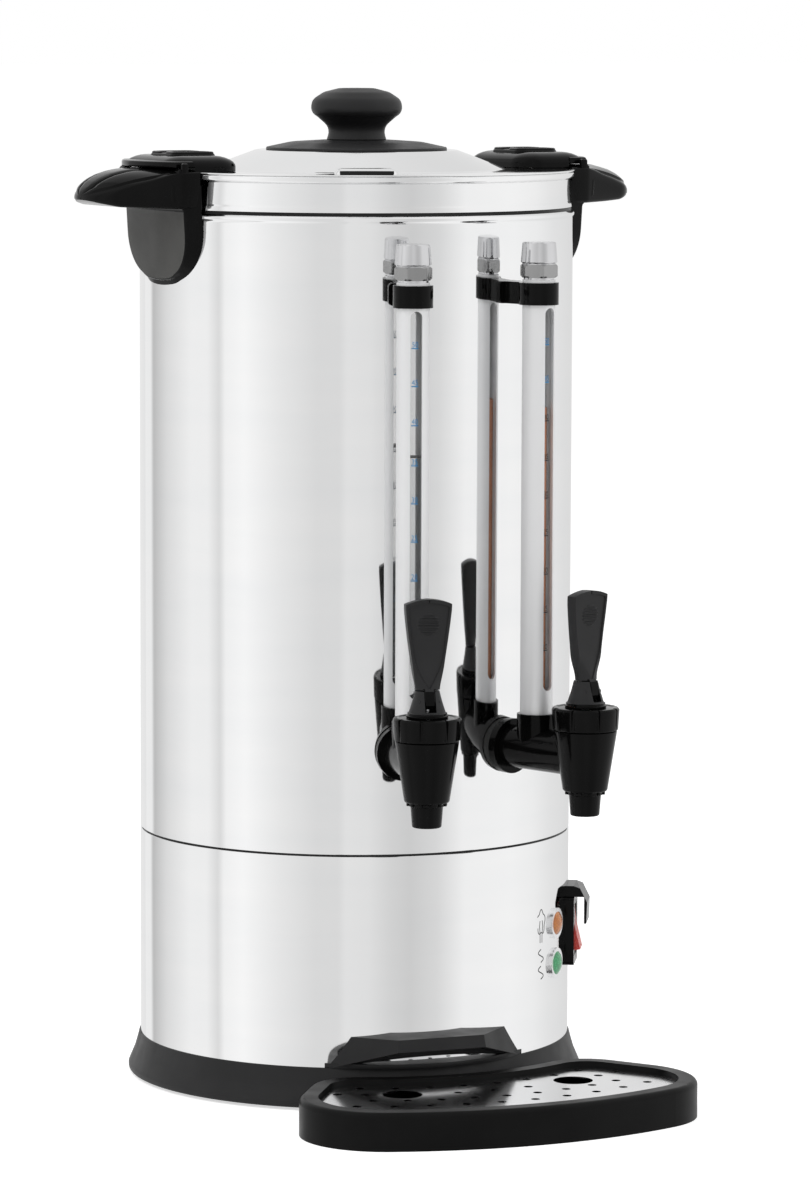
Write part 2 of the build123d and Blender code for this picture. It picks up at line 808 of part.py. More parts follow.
def wing(angle):
    """The moulded plate on the lid's edge that sits between a handle's two lugs."""
    with BuildPart() as plate_wing:
        with BuildSketch(flat(angle, (wing_inner + wing_outer) / 2, rim_top)):
            RectangleRounded(wing_outer - wing_inner, 2 * wing_half_width, 13)
        extrude(amount=wing_top - rim_top)
        chamfer(plate_wing.edges().group_by(Axis.Z)[-1], 1.8)
        with BuildSketch(flat(angle, wing_flange_reach - wing_flange_curve, grip_crest + 0.4)):
            Circle(wing_flange_curve)
            with Locations((wing_flange_curve, 0)):
                Rectangle(30, 2 * wing_half_width, mode=Mode.INTERSECT)
        extrude(amount=2.3)
        with BuildSketch(flat(angle, thumb_reach, wing_top - 0.1)):
            RectangleRounded(25.5, 33, 6)
        extrude(amount=thumb_rise + 0.1, taper=12)
        with BuildSketch(flat(angle, thumb_reach, wing_top + thumb_rise)):
            with Locations((0, -6.6), (0, 6.6)):
                RectangleRounded(18, 11, 3)
        extrude(amount=-1.6, mode=Mode.SUBTRACT)
        with BuildSketch(Plane.XZ):
            with BuildLine():
                Polyline(
                    (0, skirt_low),
                    *lid_outline,
                    (lid_radius, flange_top),
                    (lid_radius, skirt_low),
                    close=True,
                )
            make_face()
        revolve(axis=Axis.Z, mode=Mode.SUBTRACT)
        with BuildSketch(Plane.XY.offset(skirt_low)):
            Circle(2 * lid_radius)
            Circle(lid_radius, mode=Mode.SUBTRACT)
        extrude(amount=grip_crest + 0.4 - skirt_low, mode=Mode.SUBTRACT)
        with BuildSketch(flat(angle, wing_screw_reach, flange_top)):
            with Locations((0, wing_screw_offset), (0, -wing_screw_offset)):
                Circle(lid_screw_radius)
        extrude(amount=4, mode=Mode.SUBTRACT)
    return plate_wing


for side, handle_heading in handle_sides.items():
    pieces[f"lid_wing_{side}"] = wing(handle_heading)

knob_base_radius = plateau_radius - 5.2
knob_base_height = 5.0
neck_radius = 15.5
knob_radius = 23.4
knob_height = 26.7
knob_foot = plateau_height + knob_base_height

with BuildPart() as knob_base:
    with BuildSketch(Plane.XZ):
        with BuildLine():
            Line((lid_screw_radius + clearance, plateau_height), (knob_base_radius, plateau_height))
            Line((knob_base_radius, plateau_height), (knob_base_radius, plateau_height + 1))
            ThreePointArc(
                (knob_base_radius, plateau_height + 1),
                (knob_base_radius * 0.75, plateau_height + knob_base_height * 0.72),
                (neck_radius + 3, knob_foot),
            )
            Polyline(
                (neck_radius + 3, knob_foot),
                (lid_screw_radius + clearance, knob_foot),
                (lid_screw_radius + clearance, plateau_height),
            )
        make_face()
    revolve(axis=Axis.Z)
pieces["knob_base"] = knob_base

with BuildPart() as lid_knob:
    with BuildSketch(Plane.XZ):
        with BuildLine():
            Line((0, knob_foot), (neck_radius, knob_foot))
            ThreePointArc(
                (neck_radius, knob_foot),
                (neck_radius - 0.8, knob_foot + 5),
                (knob_radius - 2, knob_foot + 12.5),
            )
            ThreePointArc(
                (knob_radius - 2, knob_foot + 12.5),
                (knob_radius, knob_foot + 17),
                (knob_radius - 3.5, knob_foot + 21.5),
            )
            Spline(
                (knob_radius - 3.5, knob_foot + 21.5),
                (knob_radius * 0.55, knob_foot + knob_height - 1.2),
                (0, knob_foot + knob_height),
                tangents=((-1, 0.8), (-1, 0)),
            )
            Line((0, knob_foot + knob_height), (0, knob_foot))
        make_face()
    revolve(axis=Axis.Z)
    with BuildSketch(Plane.XY.offset(knob_foot)):
        Circle(lid_screw_radius)
    extrude(amount=8, mode=Mode.SUBTRACT)
pieces["lid_knob"] = lid_knob

with BuildPart() as lid_screws:
    with BuildSketch(Plane.XY.offset(plateau_height - sheet)):
        Circle(2 * lid_screw_radius)
    extrude(amount=-2.4)
    with BuildSketch(Plane.XY.offset(plateau_height - sheet)):
        Circle(lid_screw_radius)
    extrude(amount=sheet + knob_base_height + 7)
    for handle_heading in handle_sides.values():
        with BuildSketch(flat(handle_heading, wing_screw_reach, rim_top)):
            with Locations((0, wing_screw_offset), (0, -wing_screw_offset)):
                Circle(2 * lid_screw_radius)
        extrude(amount=-2.4)
        with BuildSketch(flat(handle_heading, wing_screw_reach, rim_top)):
            with Locations((0, wing_screw_offset), (0, -wing_screw_offset)):
                Circle(lid_screw_radius)
        extrude(amount=sheet + 3.5)
pieces["lid_screws"] = lid_screws

# ---------------------------------------------------------------- taps
arm_radius = 10.8
arm_flange = 14.0
gasket_face = body_radius + 1.6
joint_face = tap_reach - 17.0
socket_radius = 9.8
socket_top = outlet_height + 18.3
tube_seat = socket_top - 7.5
glass_seat = tube_seat - 5.0
seal_radius = glass_radius + 1.3
nut_flats = 19.0
cone_low_radius = 11.2
cone_top_radius = 16.0
cap_radius = 17.0
nozzle_top = nozzle_bottom + nozzle_length
cone_low = nozzle_top + 2
seat_height = cone_low + 5.0
seat_gap = 0.1
neck_thread = 13.5
neck_top = tap_seam + 7.0
cap_top = tap_seam + cap_height
bonnet_radius = 8.8
bonnet_floor = cap_top + 4
pivot_height = bonnet_floor + 4
pivot_offset = 4.5
ear_top = pivot_height + 4.4
slot_width = 8.8
stem_radius = 2.5
blade = 3.0
lift_pin = 1.0
pin_radius = 1.25
pin_reach = slot_width / 2 + 0.7
lever_foot = pivot_height + 6.0
lever_top = pivot_height + 50.6
lever_half_width = 11.7
waist = 6.1


def tap_arm(angle):
    with BuildPart() as arm:
        with BuildSketch(facing(angle, gasket_face, outlet_height)):
            Circle(arm_flange)
        extrude(amount=4)
        with BuildSketch(facing(angle, gasket_face, outlet_height)):
            Circle(arm_radius)
        extrude(amount=joint_face - gasket_face)
        with BuildSketch(facing(angle, tank_radius - 8, outlet_height)):
            Circle(spigot_radius)
        extrude(amount=gasket_face - tank_radius + 8)
        with BuildSketch(flat(angle, gauge_reach, outlet_height)):
            Circle(socket_radius)
        extrude(amount=socket_top - outlet_height)
        with BuildSketch(facing(angle, tank_radius - 9, outlet_height)):
            Circle(outlet_bore)
        extrude(amount=joint_face - tank_radius + 10, mode=Mode.SUBTRACT)
        with BuildSketch(flat(angle, gauge_reach, outlet_height)):
            Circle(riser_bore)
        extrude(amount=socket_top - outlet_height + 2, mode=Mode.SUBTRACT)
        with BuildSketch(flat(angle, gauge_reach, glass_seat)):
            Circle(seal_radius)
        extrude(amount=20, mode=Mode.SUBTRACT)
        with BuildSketch(flat(angle, gauge_reach, tube_seat)):
            Circle(gauge_radius + 0.1)
        extrude(amount=20, mode=Mode.SUBTRACT)
    return arm


def tap_body(angle):
    with BuildPart() as body:
        with BuildSketch(facing(angle, joint_face, outlet_height)):
            Circle(arm_radius)
        extrude(amount=tap_reach - joint_face)
        with BuildSketch(flat(angle, tap_reach, tap_seam)):
            Rectangle(4 * arm_radius, 4 * arm_radius)
        extrude(amount=arm_radius, mode=Mode.SUBTRACT)
        with BuildSketch(upright(angle, tap_reach)):
            with BuildLine():
                Polyline(
                    (0, nozzle_bottom),
                    (7.5, nozzle_bottom),
                    (8.5, nozzle_top),
                    (cone_low_radius, cone_low),
                    (cone_top_radius, tap_seam),
                    (neck_thread, tap_seam),
                    (neck_thread, neck_top),
                    (0, neck_top),
                    close=True,
                )
            make_face()
        revolve(axis=upright_axis(angle, tap_reach))
        with BuildSketch(upright(angle, tap_reach)):
            with BuildLine():
                Polyline(
                    (0, seat_height),
                    (9, seat_height),
                    (11, tap_seam - 4),
                    (11, neck_top),
                    (0, neck_top),
                    close=True,
                )
            make_face()
        revolve(axis=upright_axis(angle, tap_reach), mode=Mode.SUBTRACT)
        with BuildSketch(flat(angle, tap_reach, nozzle_bottom)):
            Circle(outlet_bore)
        extrude(amount=seat_height + 2 - nozzle_bottom, mode=Mode.SUBTRACT)
        with BuildSketch(facing(angle, joint_face, outlet_height)):
            Circle(outlet_bore)
        extrude(amount=10, mode=Mode.SUBTRACT)
    return body


def tap_cap(angle):
    with BuildPart() as cap:
        with BuildSketch(upright(angle, tap_reach)):
            with BuildLine():
                Polyline(
                    (neck_thread + clearance, tap_seam + 0.4),
                    (cone_top_radius + 0.4, tap_seam + 0.4),
                    (cap_radius, cap_top - 1),
                    (cap_radius - 1, cap_top),
                    (bonnet_radius + clearance, cap_top),
                    (bonnet_radius + clearance, neck_top + 1.5),
                    (neck_thread + clearance, neck_top + 1.5),
                    close=True,
                )
            make_face()
        revolve(axis=upright_axis(angle, tap_reach))
        with BuildSketch(flat(angle, tap_reach, tap_seam)):
            with PolarLocations(cap_radius + 0.4, 8):
                Rectangle(1.6, 2.4)
        extrude(amount=cap_height + 1, mode=Mode.SUBTRACT)
    return cap


def tap_bonnet(angle):
    """The guide under the cap, with two ears that carry the lever's pivot pin."""
    with BuildPart() as bonnet:
        with BuildSketch(upright(angle, tap_reach)):
            with BuildLine():
                Polyline(
                    (0, neck_top),
                    (neck_thread, neck_top),
                    (neck_thread, neck_top + 1.5),
                    (bonnet_radius, neck_top + 1.5),
                    (bonnet_radius, cap_top + 3),
                    (bonnet_radius - 1.4, pivot_height + 1),
                    (bonnet_radius - 2.2, ear_top),
                    (0, ear_top),
                    close=True,
                )
            make_face()
        revolve(axis=upright_axis(angle, tap_reach))
        with BuildSketch(flat(angle, tap_reach, bonnet_floor)):
            Rectangle(3 * bonnet_radius, slot_width)
        extrude(amount=20, mode=Mode.SUBTRACT)
        with BuildSketch(flat(angle, tap_reach, neck_top - 1)):
            Circle(stem_radius + running)
        extrude(amount=20, mode=Mode.SUBTRACT)
        with BuildSketch(upright(angle, tap_reach)):
            with Locations((pivot_offset, pivot_height)):
                Circle(pin_radius)
        extrude(amount=pin_reach, both=True, mode=Mode.SUBTRACT)
    return bonnet


def valve_stem(angle):
    """The lifting stem; the lever's cross pin runs in the slot of its top blade."""
    with BuildPart() as stem:
        with BuildSketch(flat(angle, tap_reach, seat_height + 7)):
            Circle(stem_radius)
        extrude(amount=bonnet_floor + 0.6 - seat_height - 7)
        with BuildSketch(flat(angle, tap_reach, bonnet_floor - 2.4)):
            with Locations((0, blade), (0, -blade)):
                Rectangle(4 * stem_radius, blade, mode=Mode.ADD)
        extrude(amount=5, mode=Mode.SUBTRACT)
        with BuildSketch(upright(angle, tap_reach)):
            with Locations((0, bonnet_floor + 3.5)):
                Rectangle(5.8, 6)
            with Locations((0.3, pivot_height)):
                SlotOverall(4.2, 2 * lift_pin + 0.5, mode=Mode.SUBTRACT)
        extrude(amount=blade / 2, both=True)
    return stem


def seat_cup(angle):
    with BuildPart() as cup:
        with BuildSketch(upright(angle, tap_reach)):
            with BuildLine():
                Polyline(
                    (0, seat_height + seat_gap + 1.5),
                    (5, seat_height + seat_gap),
                    (6.8, seat_height + seat_gap),
                    (6.2, seat_height + 5),
                    (6.2, seat_height + 8.5),
                    (stem_radius, seat_height + 8.5),
                    (stem_radius, seat_height + 7),
                    (0, seat_height + 7),
                    close=True,
                )
            make_face()
        revolve(axis=upright_axis(angle, tap_reach))
    return cup


def valve_spring(angle):
    spring_low = seat_height + 9.2
    spring_high = neck_top - 0.6
    with BuildPart() as spring:
        with BuildLine() as coil:
            Helix(
                pitch=(spring_high - spring_low) / 6,
                height=spring_high - spring_low,
                radius=5.2,
                center=heading(angle, tap_reach, spring_low),
            )
        with BuildSketch(Plane(coil.line @ 0, z_dir=coil.line % 0)):
            Circle(0.5)
        sweep(path=coil.line, is_frenet=True)
    return spring


def tap_lever(angle):
    with BuildPart() as lever:
        with BuildSketch(facing(angle, tap_reach - 5.4, 0)):
            with BuildLine():
                Polyline((-waist, lever_foot), (waist, lever_foot))
                Spline(
                    (waist, lever_foot),
                    (waist + 2.4, lever_foot + 15.6),
                    (waist + 4.7, lever_foot + 32),
                    (lever_half_width, lever_top - 2.4),
                    tangents=((0.15, 1), (0, 1)),
                )
                ThreePointArc(
                    (lever_half_width, lever_top - 2.4),
                    (0, lever_top),
                    (-lever_half_width, lever_top - 2.4),
                )
                Spline(
                    (-lever_half_width, lever_top - 2.4),
                    (-waist - 4.7, lever_foot + 32),
                    (-waist - 2.4, lever_foot + 15.6),
                    (-waist, lever_foot),
                    tangents=((0, -1), (0.15, -1)),
                )
            make_face()
        extrude(amount=10.8)
        with BuildSketch(upright(angle, tap_reach)):
            with BuildLine():
                Line((-4.6, lever_foot), (5.2, lever_foot))
                Spline(
                    (5.2, lever_foot),
                    (2.6, lever_foot + 18),
                    (3.6, lever_top),
                )
                Line((3.6, lever_top), (-2.4, lever_top))
                Spline(
                    (-2.4, lever_top),
                    (-3.6, lever_foot + 18),
                    (-4.6, lever_foot),
                )
            make_face()
        extrude(amount=2 * lever_half_width, both=True, mode=Mode.INTERSECT)
        with BuildSketch(upright(angle, tap_reach)):
            with BuildLine():
                Polyline(
                    (pivot_offset + 3.6, pivot_height),
                    (5.2, lever_foot + 0.5),
                    (-4.6, lever_foot + 0.5),
                    (-2.6, pivot_height),
                    (0, pivot_height - 2.4),
                    (pivot_offset, pivot_height - 3.6),
                    close=True,
                )
            make_face()
            with Locations((pivot_offset, pivot_height)):
                Circle(3.6)
            with Locations((0, pivot_height)):
                Circle(2.6)
        extrude(amount=slot_width / 2 - 0.2, both=True)
        with BuildSketch(flat(angle, tap_reach, pivot_height - 5)):
            Rectangle(20, blade + 0.5)
        extrude(amount=lever_foot - pivot_height + 5 + 0.4, mode=Mode.SUBTRACT)
        with BuildSketch(upright(angle, tap_reach)):
            with Locations((0, pivot_height)):
                Circle(lift_pin)
        extrude(amount=blade / 2 + 1, both=True)
        with BuildSketch(upright(angle, tap_reach)):
            with Locations((pivot_offset, pivot_height)):
                Circle(pin_radius + running)
        extrude(amount=20, both=True, mode=Mode.SUBTRACT)
    return lever


def gauge_tube(angle):
    slot_low = tube_seat + 19.5
    slot_high = clip_low - 1.5
    with BuildPart() as tube:
        with BuildSketch(flat(angle, gauge_reach, tube_seat)):
            Circle(gauge_radius)
            Circle(glass_radius + 0.4, mode=Mode.SUBTRACT)
        extrude(amount=gauge_top - tube_seat)
        with BuildSketch(facing(angle, gauge_reach, (slot_low + slot_high) / 2)):
            SlotOverall(slot_high - slot_low, 6, rotation=90)
        extrude(amount=20, both=True, mode=Mode.SUBTRACT)
    return tube


for side, tap_heading in tap_sides.items():
    pieces[f"tap_arm_{side}"] = tap_arm(tap_heading)
    pieces[f"tap_body_{side}"] = tap_body(tap_heading)
    pieces[f"tap_cap_{side}"] = tap_cap(tap_heading)
    pieces[f"tap_bonnet_{side}"] = tap_bonnet(tap_heading)
    pieces[f"tap_lever_{side}"] = tap_lever(tap_heading)
    pieces[f"valve_stem_{side}"] = valve_stem(tap_heading)
    pieces[f"seat_cup_{side}"] = seat_cup(tap_heading)
    pieces[f"valve_spring_{side}"] = valve_spring(tap_heading)
    pieces[f"gauge_tube_{side}"] = gauge_tube(tap_heading)

with BuildPart() as tap_gaskets:
    for tap_heading in tap_sides.values():
        with BuildSketch(facing(tap_heading, body_radius - 4, outlet_height)):
            Circle(arm_flange - 0.5)
            Circle(spigot_radius, mode=Mode.SUBTRACT)
        extrude(amount=gasket_face - body_radius + 4)
    drum(body_radius, seam_height, shell_top)
pieces["tap_gaskets"] = tap_gaskets

with BuildPart() as tap_nuts:
    for tap_heading in tap_sides.values():
        with BuildSketch(facing(tap_heading, tank_radius - 6.5, outlet_height)):
            RegularPolygon(nut_flats / 2, 6, major_radius=False)
            Circle(spigot_radius, mode=Mode.SUBTRACT)
        extrude(amount=8)
    drum(tank_radius, tank_floor, shell_top, mode=Mode.INTERSECT)
pieces["tap_nuts"] = tap_nuts

with BuildPart() as pivot_pins:
    for tap_heading in tap_sides.values():
        with BuildSketch(upright(tap_heading, tap_reach)):
            with Locations((pivot_offset, pivot_height)):
                Circle(pin_radius)
        extrude(amount=pin_reach, both=True)
pieces["pivot_pins"] = pivot_pins

# ---------------------------------------------------------------- gauges
glass_top = gauge_top + 6.0

with BuildPart() as gauge_glasses:
    for tap_heading in tap_sides.values():
        with BuildSketch(flat(tap_heading, gauge_reach, glass_seat)):
            Circle(glass_radius)
            Circle(outlet_bore, mode=Mode.SUBTRACT)
        extrude(amount=glass_top - glass_seat)
pieces["gauge_glasses"] = gauge_glasses

with BuildPart() as gauge_seals:
    for tap_heading in tap_sides.values():
        with BuildSketch(flat(tap_heading, gauge_reach, glass_seat)):
            Circle(seal_radius)
            Circle(glass_radius, mode=Mode.SUBTRACT)
        extrude(amount=tube_seat - glass_seat)
pieces["gauge_seals"] = gauge_seals

with BuildPart() as gauge_caps:
    for tap_heading in tap_sides.values():
        with BuildSketch(flat(tap_heading, gauge_reach, gauge_top)):
            Circle(gauge_radius)
        extrude(amount=0.6)
        with BuildSketch(flat(tap_heading, gauge_reach, gauge_top + 0.6)):
            RegularPolygon(8.5, 6, major_radius=False)
        extrude(amount=7.4)
        with BuildSketch(flat(tap_heading, gauge_reach, gauge_top + 8)):
            Circle(9.3)
        extrude(amount=11, taper=4)
        with BuildSketch(flat(tap_heading, gauge_reach, gauge_top)):
            Circle(glass_radius + 0.1)
        extrude(amount=12, mode=Mode.SUBTRACT)
pieces["gauge_caps"] = gauge_caps

with BuildPart() as gauge_clips:
    for tap_heading in tap_sides.values():
        with BuildSketch(flat(tap_heading, gauge_reach, clip_low)):
            Circle(10)
            with Locations(((body_radius - gauge_reach - 4) / 2, 0)):
                Rectangle(gauge_reach - body_radius + 4, 9)
            Circle(gauge_radius, mode=Mode.SUBTRACT)
        extrude(amount=clip_high - clip_low)
        with BuildSketch(facing(tap_heading, body_radius - 4, (clip_low + clip_high) / 2)):
            RectangleRounded(16, clip_high - clip_low, 2)
        extrude(amount=6)
    drum(body_radius, seam_height, shell_top)
    for tap_heading in tap_sides.values():
        with BuildSketch(facing(tap_heading, body_radius - 4, (clip_low + clip_high) / 2)):
            Circle(clip_stud)
        extrude(amount=5)
        with BuildSketch(facing(tap_heading, body_radius - 4, (clip_low + clip_high) / 2)):
            Circle(clip_stud + 1)
        extrude(amount=3)
pieces["gauge_clips"] = gauge_clips

# ---------------------------------------------------------------- tray holder
holder_lip = 2.4
holder_wall = 1.6
holder_top = base_height + 16.0
holder_reach = body_radius + 14.0
holder_tip = 54.0
holder_front = 25.0
holder_base = sqrt(body_radius**2 - holder_tip**2)
slope_start = holder_base - 4.0
slope_low = base_height + holder_lip - 5.0
slope_run = 34.0
slope_rise = 14.5


def holder_block(inset):
    """The hood's solid envelope, or its hollow when inset by the wall."""
    with BuildPart() as block:
        with BuildSketch(flat(holder_heading, 0, base_height - 1)):
            with BuildLine():
                Polyline(
                    (tank_radius - 20, -holder_tip + inset),
                    (holder_base, -holder_tip + 2.2 * inset),
                    (holder_reach - inset, -holder_front + inset),
                    (holder_reach - inset, holder_front - inset),
                    (holder_base, holder_tip - 2.2 * inset),
                    (tank_radius - 20, holder_tip - inset),
                    close=True,
                )
            make_face()
        extrude(amount=holder_top - base_height + 1 - inset, taper=14)
        drum(body_radius + inset, 0, seam_height)
    return block


holder_hollow = holder_block(holder_wall)

with BuildPart() as tray_holder:
    add(holder_block(0).part)
    add(holder_hollow.part, mode=Mode.SUBTRACT)
    with BuildSketch(upright(holder_heading)):
        with BuildLine():
            Polyline(
                (slope_start, 0),
                (slope_start, slope_low),
                (slope_start + slope_run, slope_low + slope_rise),
                (slope_start + 2 * slope_run, 0),
                close=True,
            )
        make_face()
    extrude(amount=2 * holder_tip, both=True, mode=Mode.SUBTRACT)
    with BuildSketch(flat(holder_heading, 0, base_height)):
        with BuildLine():
            Line((holder_base, -holder_tip), (holder_base, holder_tip))
            ThreePointArc(
                (holder_base, holder_tip),
                (body_radius + 6, 0),
                (holder_base, -holder_tip),
            )
        make_face()
    extrude(amount=holder_lip)
    drum(body_radius, 0, seam_height)
    with BuildSketch(facing(holder_heading, body_radius - 3, holder_peg_height)):
        with Locations((holder_peg_spread, 0), (-holder_peg_spread, 0)):
            Circle(holder_peg)
    extrude(amount=6)
pieces["tray_holder"] = tray_holder

# ---------------------------------------------------------------- drip tray
tray_floor = 2.5
grid_thickness = 0.8
grid_top = tray_height - 2.8
grid_ledge = 2.5
outer_corner = 42.0
inner_corner = 26.0


def tray_plane(height):
    """A level plane turned and shifted as the loose tray stands in front of the urn."""
    return Plane(origin=(tray_shift, 0, height), x_dir=across(tray_turn), z_dir=(0, 0, 1))


def tray_plan(inset):
    """The tray's outline, a ring sector in its own plane, moved inwards by inset."""
    reach = 2 * tray_front
    edge = inset / cos(radians(90 - tray_half_angle))
    with BuildSketch(mode=Mode.PRIVATE) as plan:
        Circle(tray_front - inset)
        Circle(tray_back + inset, mode=Mode.SUBTRACT)
        with BuildLine():
            Polyline(
                (0, -edge),
                (reach * sin(radians(tray_half_angle)), -edge - reach * cos(radians(tray_half_angle))),
                (-reach * sin(radians(tray_half_angle)), -edge - reach * cos(radians(tray_half_angle))),
                close=True,
            )
        make_face(mode=Mode.INTERSECT)
        corners = plan.vertices().sort_by(Axis.Y)
        fillet(corners[:2], outer_corner - inset)
        inner_corners = plan.vertices().sort_by(Axis.Y)[-2:]
        fillet(inner_corners, inner_corner - inset)
    return plan.sketch


with BuildPart() as drip_tray:
    with BuildSketch(tray_plane(-foot_height)):
        add(tray_plan(0))
    extrude(amount=tray_height + foot_height)
    fillet(drip_tray.edges().group_by(Axis.Z)[-1], 3.0)
    with BuildSketch(tray_plane(grid_top - grid_thickness)):
        add(tray_plan(tray_rim))
    extrude(amount=10, mode=Mode.SUBTRACT)
    with BuildSketch(tray_plane(tray_floor - foot_height)):
        add(tray_plan(tray_rim + grid_ledge))
    extrude(amount=grid_top, mode=Mode.SUBTRACT)
pieces["drip_tray"] = drip_tray

drain_hole = 2.25
finger_hole = 10.0
finger_reach = tap_reach - 10.0
finger_heading = tap_angle + 1.8
hole_rows = {
    finger_reach - 16: (3.6, 10.8, 18.0, 25.2),
    finger_reach: (0.0, 7.0, 24.0, 29.0),
    finger_reach + 15: (0.0, 5.7, 11.4, 17.0, 22.7),
    finger_reach + 29: (2.8, 8.4, 14.0, 19.6, 25.2),
}

with BuildPart() as drip_grid:
    with BuildSketch(tray_plane(grid_top - grid_thickness)):
        add(tray_plan(tray_rim + 0.4))
        for row_reach, row_headings in hole_rows.items():
            for row_heading in row_headings:
                for signed in {row_heading, -row_heading}:
                    spot = heading(signed, row_reach)
                    with Locations((spot.X, spot.Y)):
                        Circle(drain_hole, mode=Mode.SUBTRACT)
        for signed in (finger_heading, -finger_heading):
            spot = heading(signed, finger_reach)
            with Locations((spot.X, spot.Y)):
                Circle(finger_hole, mode=Mode.SUBTRACT)
    extrude(amount=grid_thickness)
pieces["drip_grid"] = drip_grid

# ---------------------------------------------------------------- export
os.makedirs("parts", exist_ok=True)
for name, piece in pieces.items():
    piece.part.label = name
    export_step(piece.part, f"parts/{name}.step")
print(len(pieces), "pieces")
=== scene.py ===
from math import atan2, cos, degrees, hypot, pi, radians, sin, sqrt, tan

import bpy
from mathutils import Matrix, Vector


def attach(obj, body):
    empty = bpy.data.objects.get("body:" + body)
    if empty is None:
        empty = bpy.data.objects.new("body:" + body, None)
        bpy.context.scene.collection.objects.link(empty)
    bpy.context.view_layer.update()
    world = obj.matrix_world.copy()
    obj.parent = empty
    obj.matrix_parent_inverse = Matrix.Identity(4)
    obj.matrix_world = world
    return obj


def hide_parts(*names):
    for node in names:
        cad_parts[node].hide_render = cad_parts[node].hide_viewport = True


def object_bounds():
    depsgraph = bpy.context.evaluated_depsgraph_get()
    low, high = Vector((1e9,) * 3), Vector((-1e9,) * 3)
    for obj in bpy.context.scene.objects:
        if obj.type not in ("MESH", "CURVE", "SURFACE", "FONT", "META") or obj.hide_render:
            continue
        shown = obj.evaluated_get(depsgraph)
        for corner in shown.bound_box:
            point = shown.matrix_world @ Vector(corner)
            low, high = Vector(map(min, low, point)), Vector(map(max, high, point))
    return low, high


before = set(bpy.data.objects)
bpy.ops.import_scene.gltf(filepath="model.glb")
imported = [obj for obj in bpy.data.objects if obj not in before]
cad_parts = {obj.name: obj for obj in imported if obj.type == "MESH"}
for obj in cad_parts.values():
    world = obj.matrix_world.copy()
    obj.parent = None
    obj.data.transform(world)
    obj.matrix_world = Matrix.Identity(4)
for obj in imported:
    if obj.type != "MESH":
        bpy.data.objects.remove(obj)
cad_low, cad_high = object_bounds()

# Lengths are in millimetres until a mesh is made. A heading is an angle from the
# urn's front, in degrees, positive towards +X, as in the part's own source.
MM = 0.001
TURN = 2 * pi
IDENTITY = Matrix()

# ---- driving sizes
body_radius = 112.0
sheet = 0.8
housing_inner = body_radius - sheet
base_height = 20.0
base_radius = 118.5
seam_height = 128.7
shell_top = 450.0
rim_height = 466.0
rim_top = 469.5
rim_radius = 113.0
tank_radius = 102.5
tank_floor = 160.0
lid_flange = 470.3
plateau_radius = 52.0
plateau_height = 480.0
slope_foot = 78.0

tap_headings = {"left": -15.5, "right": 15.5}
handle_headings = {"left": -90.0, "right": 90.0}
tap_reach = 168.5
gauge_reach = 133.7
outlet_height = 181.0
arm_radius = 10.8
socket_top = 199.3
tap_seam = 194.2
cap_top = 205.8
pivot_height = 213.8

camera_heading = -28.2
camera_distance = 2867.0
camera_height = 556.9
camera_pitch = 6.19
camera_roll = 0.209
camera_shift = 26.16
focal_pixels = 5533.0
image_height = 1200.0
sensor = 36.0


# ---- geometry helpers
def heading(angle, radius=1.0, height=0.0):
    return Vector((radius * sin(radians(angle)), -radius * cos(radians(angle)), height))


def across(angle):
    return Vector((cos(radians(angle)), sin(radians(angle)), 0))


def from_axes(x_axis, y_axis, z_axis, origin):
    """The matrix whose columns are three axes and an origin."""
    columns = (x_axis, y_axis, z_axis, origin)
    return Matrix([[column[row] for column in columns] for row in range(3)] + [(0, 0, 0, 1)])


def stand(angle, radius=0.0):
    """A matrix from a local frame, x outward, y across and z up, to the row frame."""
    return from_axes(heading(angle), across(angle), (0, 0, 1), heading(angle, radius))


def rounded(corners, steps=5):
    """Corners (x, y) or (x, y, radius) turned into an outline with those corners round."""
    outline = []
    for index, corner in enumerate(corners):
        here = Vector(corner[:2])
        radius = corner[2] if len(corner) > 2 else 0
        if not radius:
            outline.append(here)
            continue
        before = (Vector(corners[index - 1][:2]) - here).normalized()
        after = (Vector(corners[(index + 1) % len(corners)][:2]) - here).normalized()
        half = before.angle(after) / 2
        reach = radius / tan(half)
        centre = here + (before + after).normalized() * (radius / sin(half))
        start, end = here + before * reach - centre, here + after * reach - centre
        sweep = start.angle_signed(end)
        for step in range(steps + 1):
            turned = start.copy()
            turned.rotate(Matrix.Rotation(-sweep * step / steps, 2))
            outline.append(centre + turned)
    return outline


def new_object(name, data):
    obj = bpy.data.objects.new(name, data)
    bpy.context.scene.collection.objects.link(obj)
    return obj


def piece(name, shape, material, body, slot, replaces=(), sharp=32, paint=None, place=IDENTITY):
    """A mesh piece from (points, faces) in millimetres, smooth except at sharp edges.

    place takes the shape's own frame to the row frame. paint is a second material and
    a test of a face's centre, in the shape's own frame.
    """
    points, faces = placed(shape, place)
    mesh = bpy.data.meshes.new(name)
    mesh.from_pydata([point * MM for point in points], [], faces)
    mesh.validate()
    mesh.materials.append(material)
    if paint:
        second_material, is_painted = paint
        mesh.materials.append(second_material)
        local = place.inverted()
        for face in mesh.polygons:
            face.material_index = int(is_painted(local @ (face.center / MM)))
    for face in mesh.polygons:
        face.use_smooth = True
    mesh.set_sharp_from_angle(angle=radians(sharp))
    obj = new_object(name, mesh)
    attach(obj, body)
    if replaces:
        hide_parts(*replaces)


def dress(node, shape, material, body, slot, **more):
    """A piece that stands for one CAD node and takes its name."""
    piece(f"{node}_look", shape, material, body, slot, (node,), **more)


def join_shapes(*shapes):
    """Several (points, faces) as one."""
    points, faces = [], []
    for more_points, more_faces in shapes:
        base = len(points)
        points += list(more_points)
        faces += [tuple(base + index for index in face) for face in more_faces]
    return points, faces


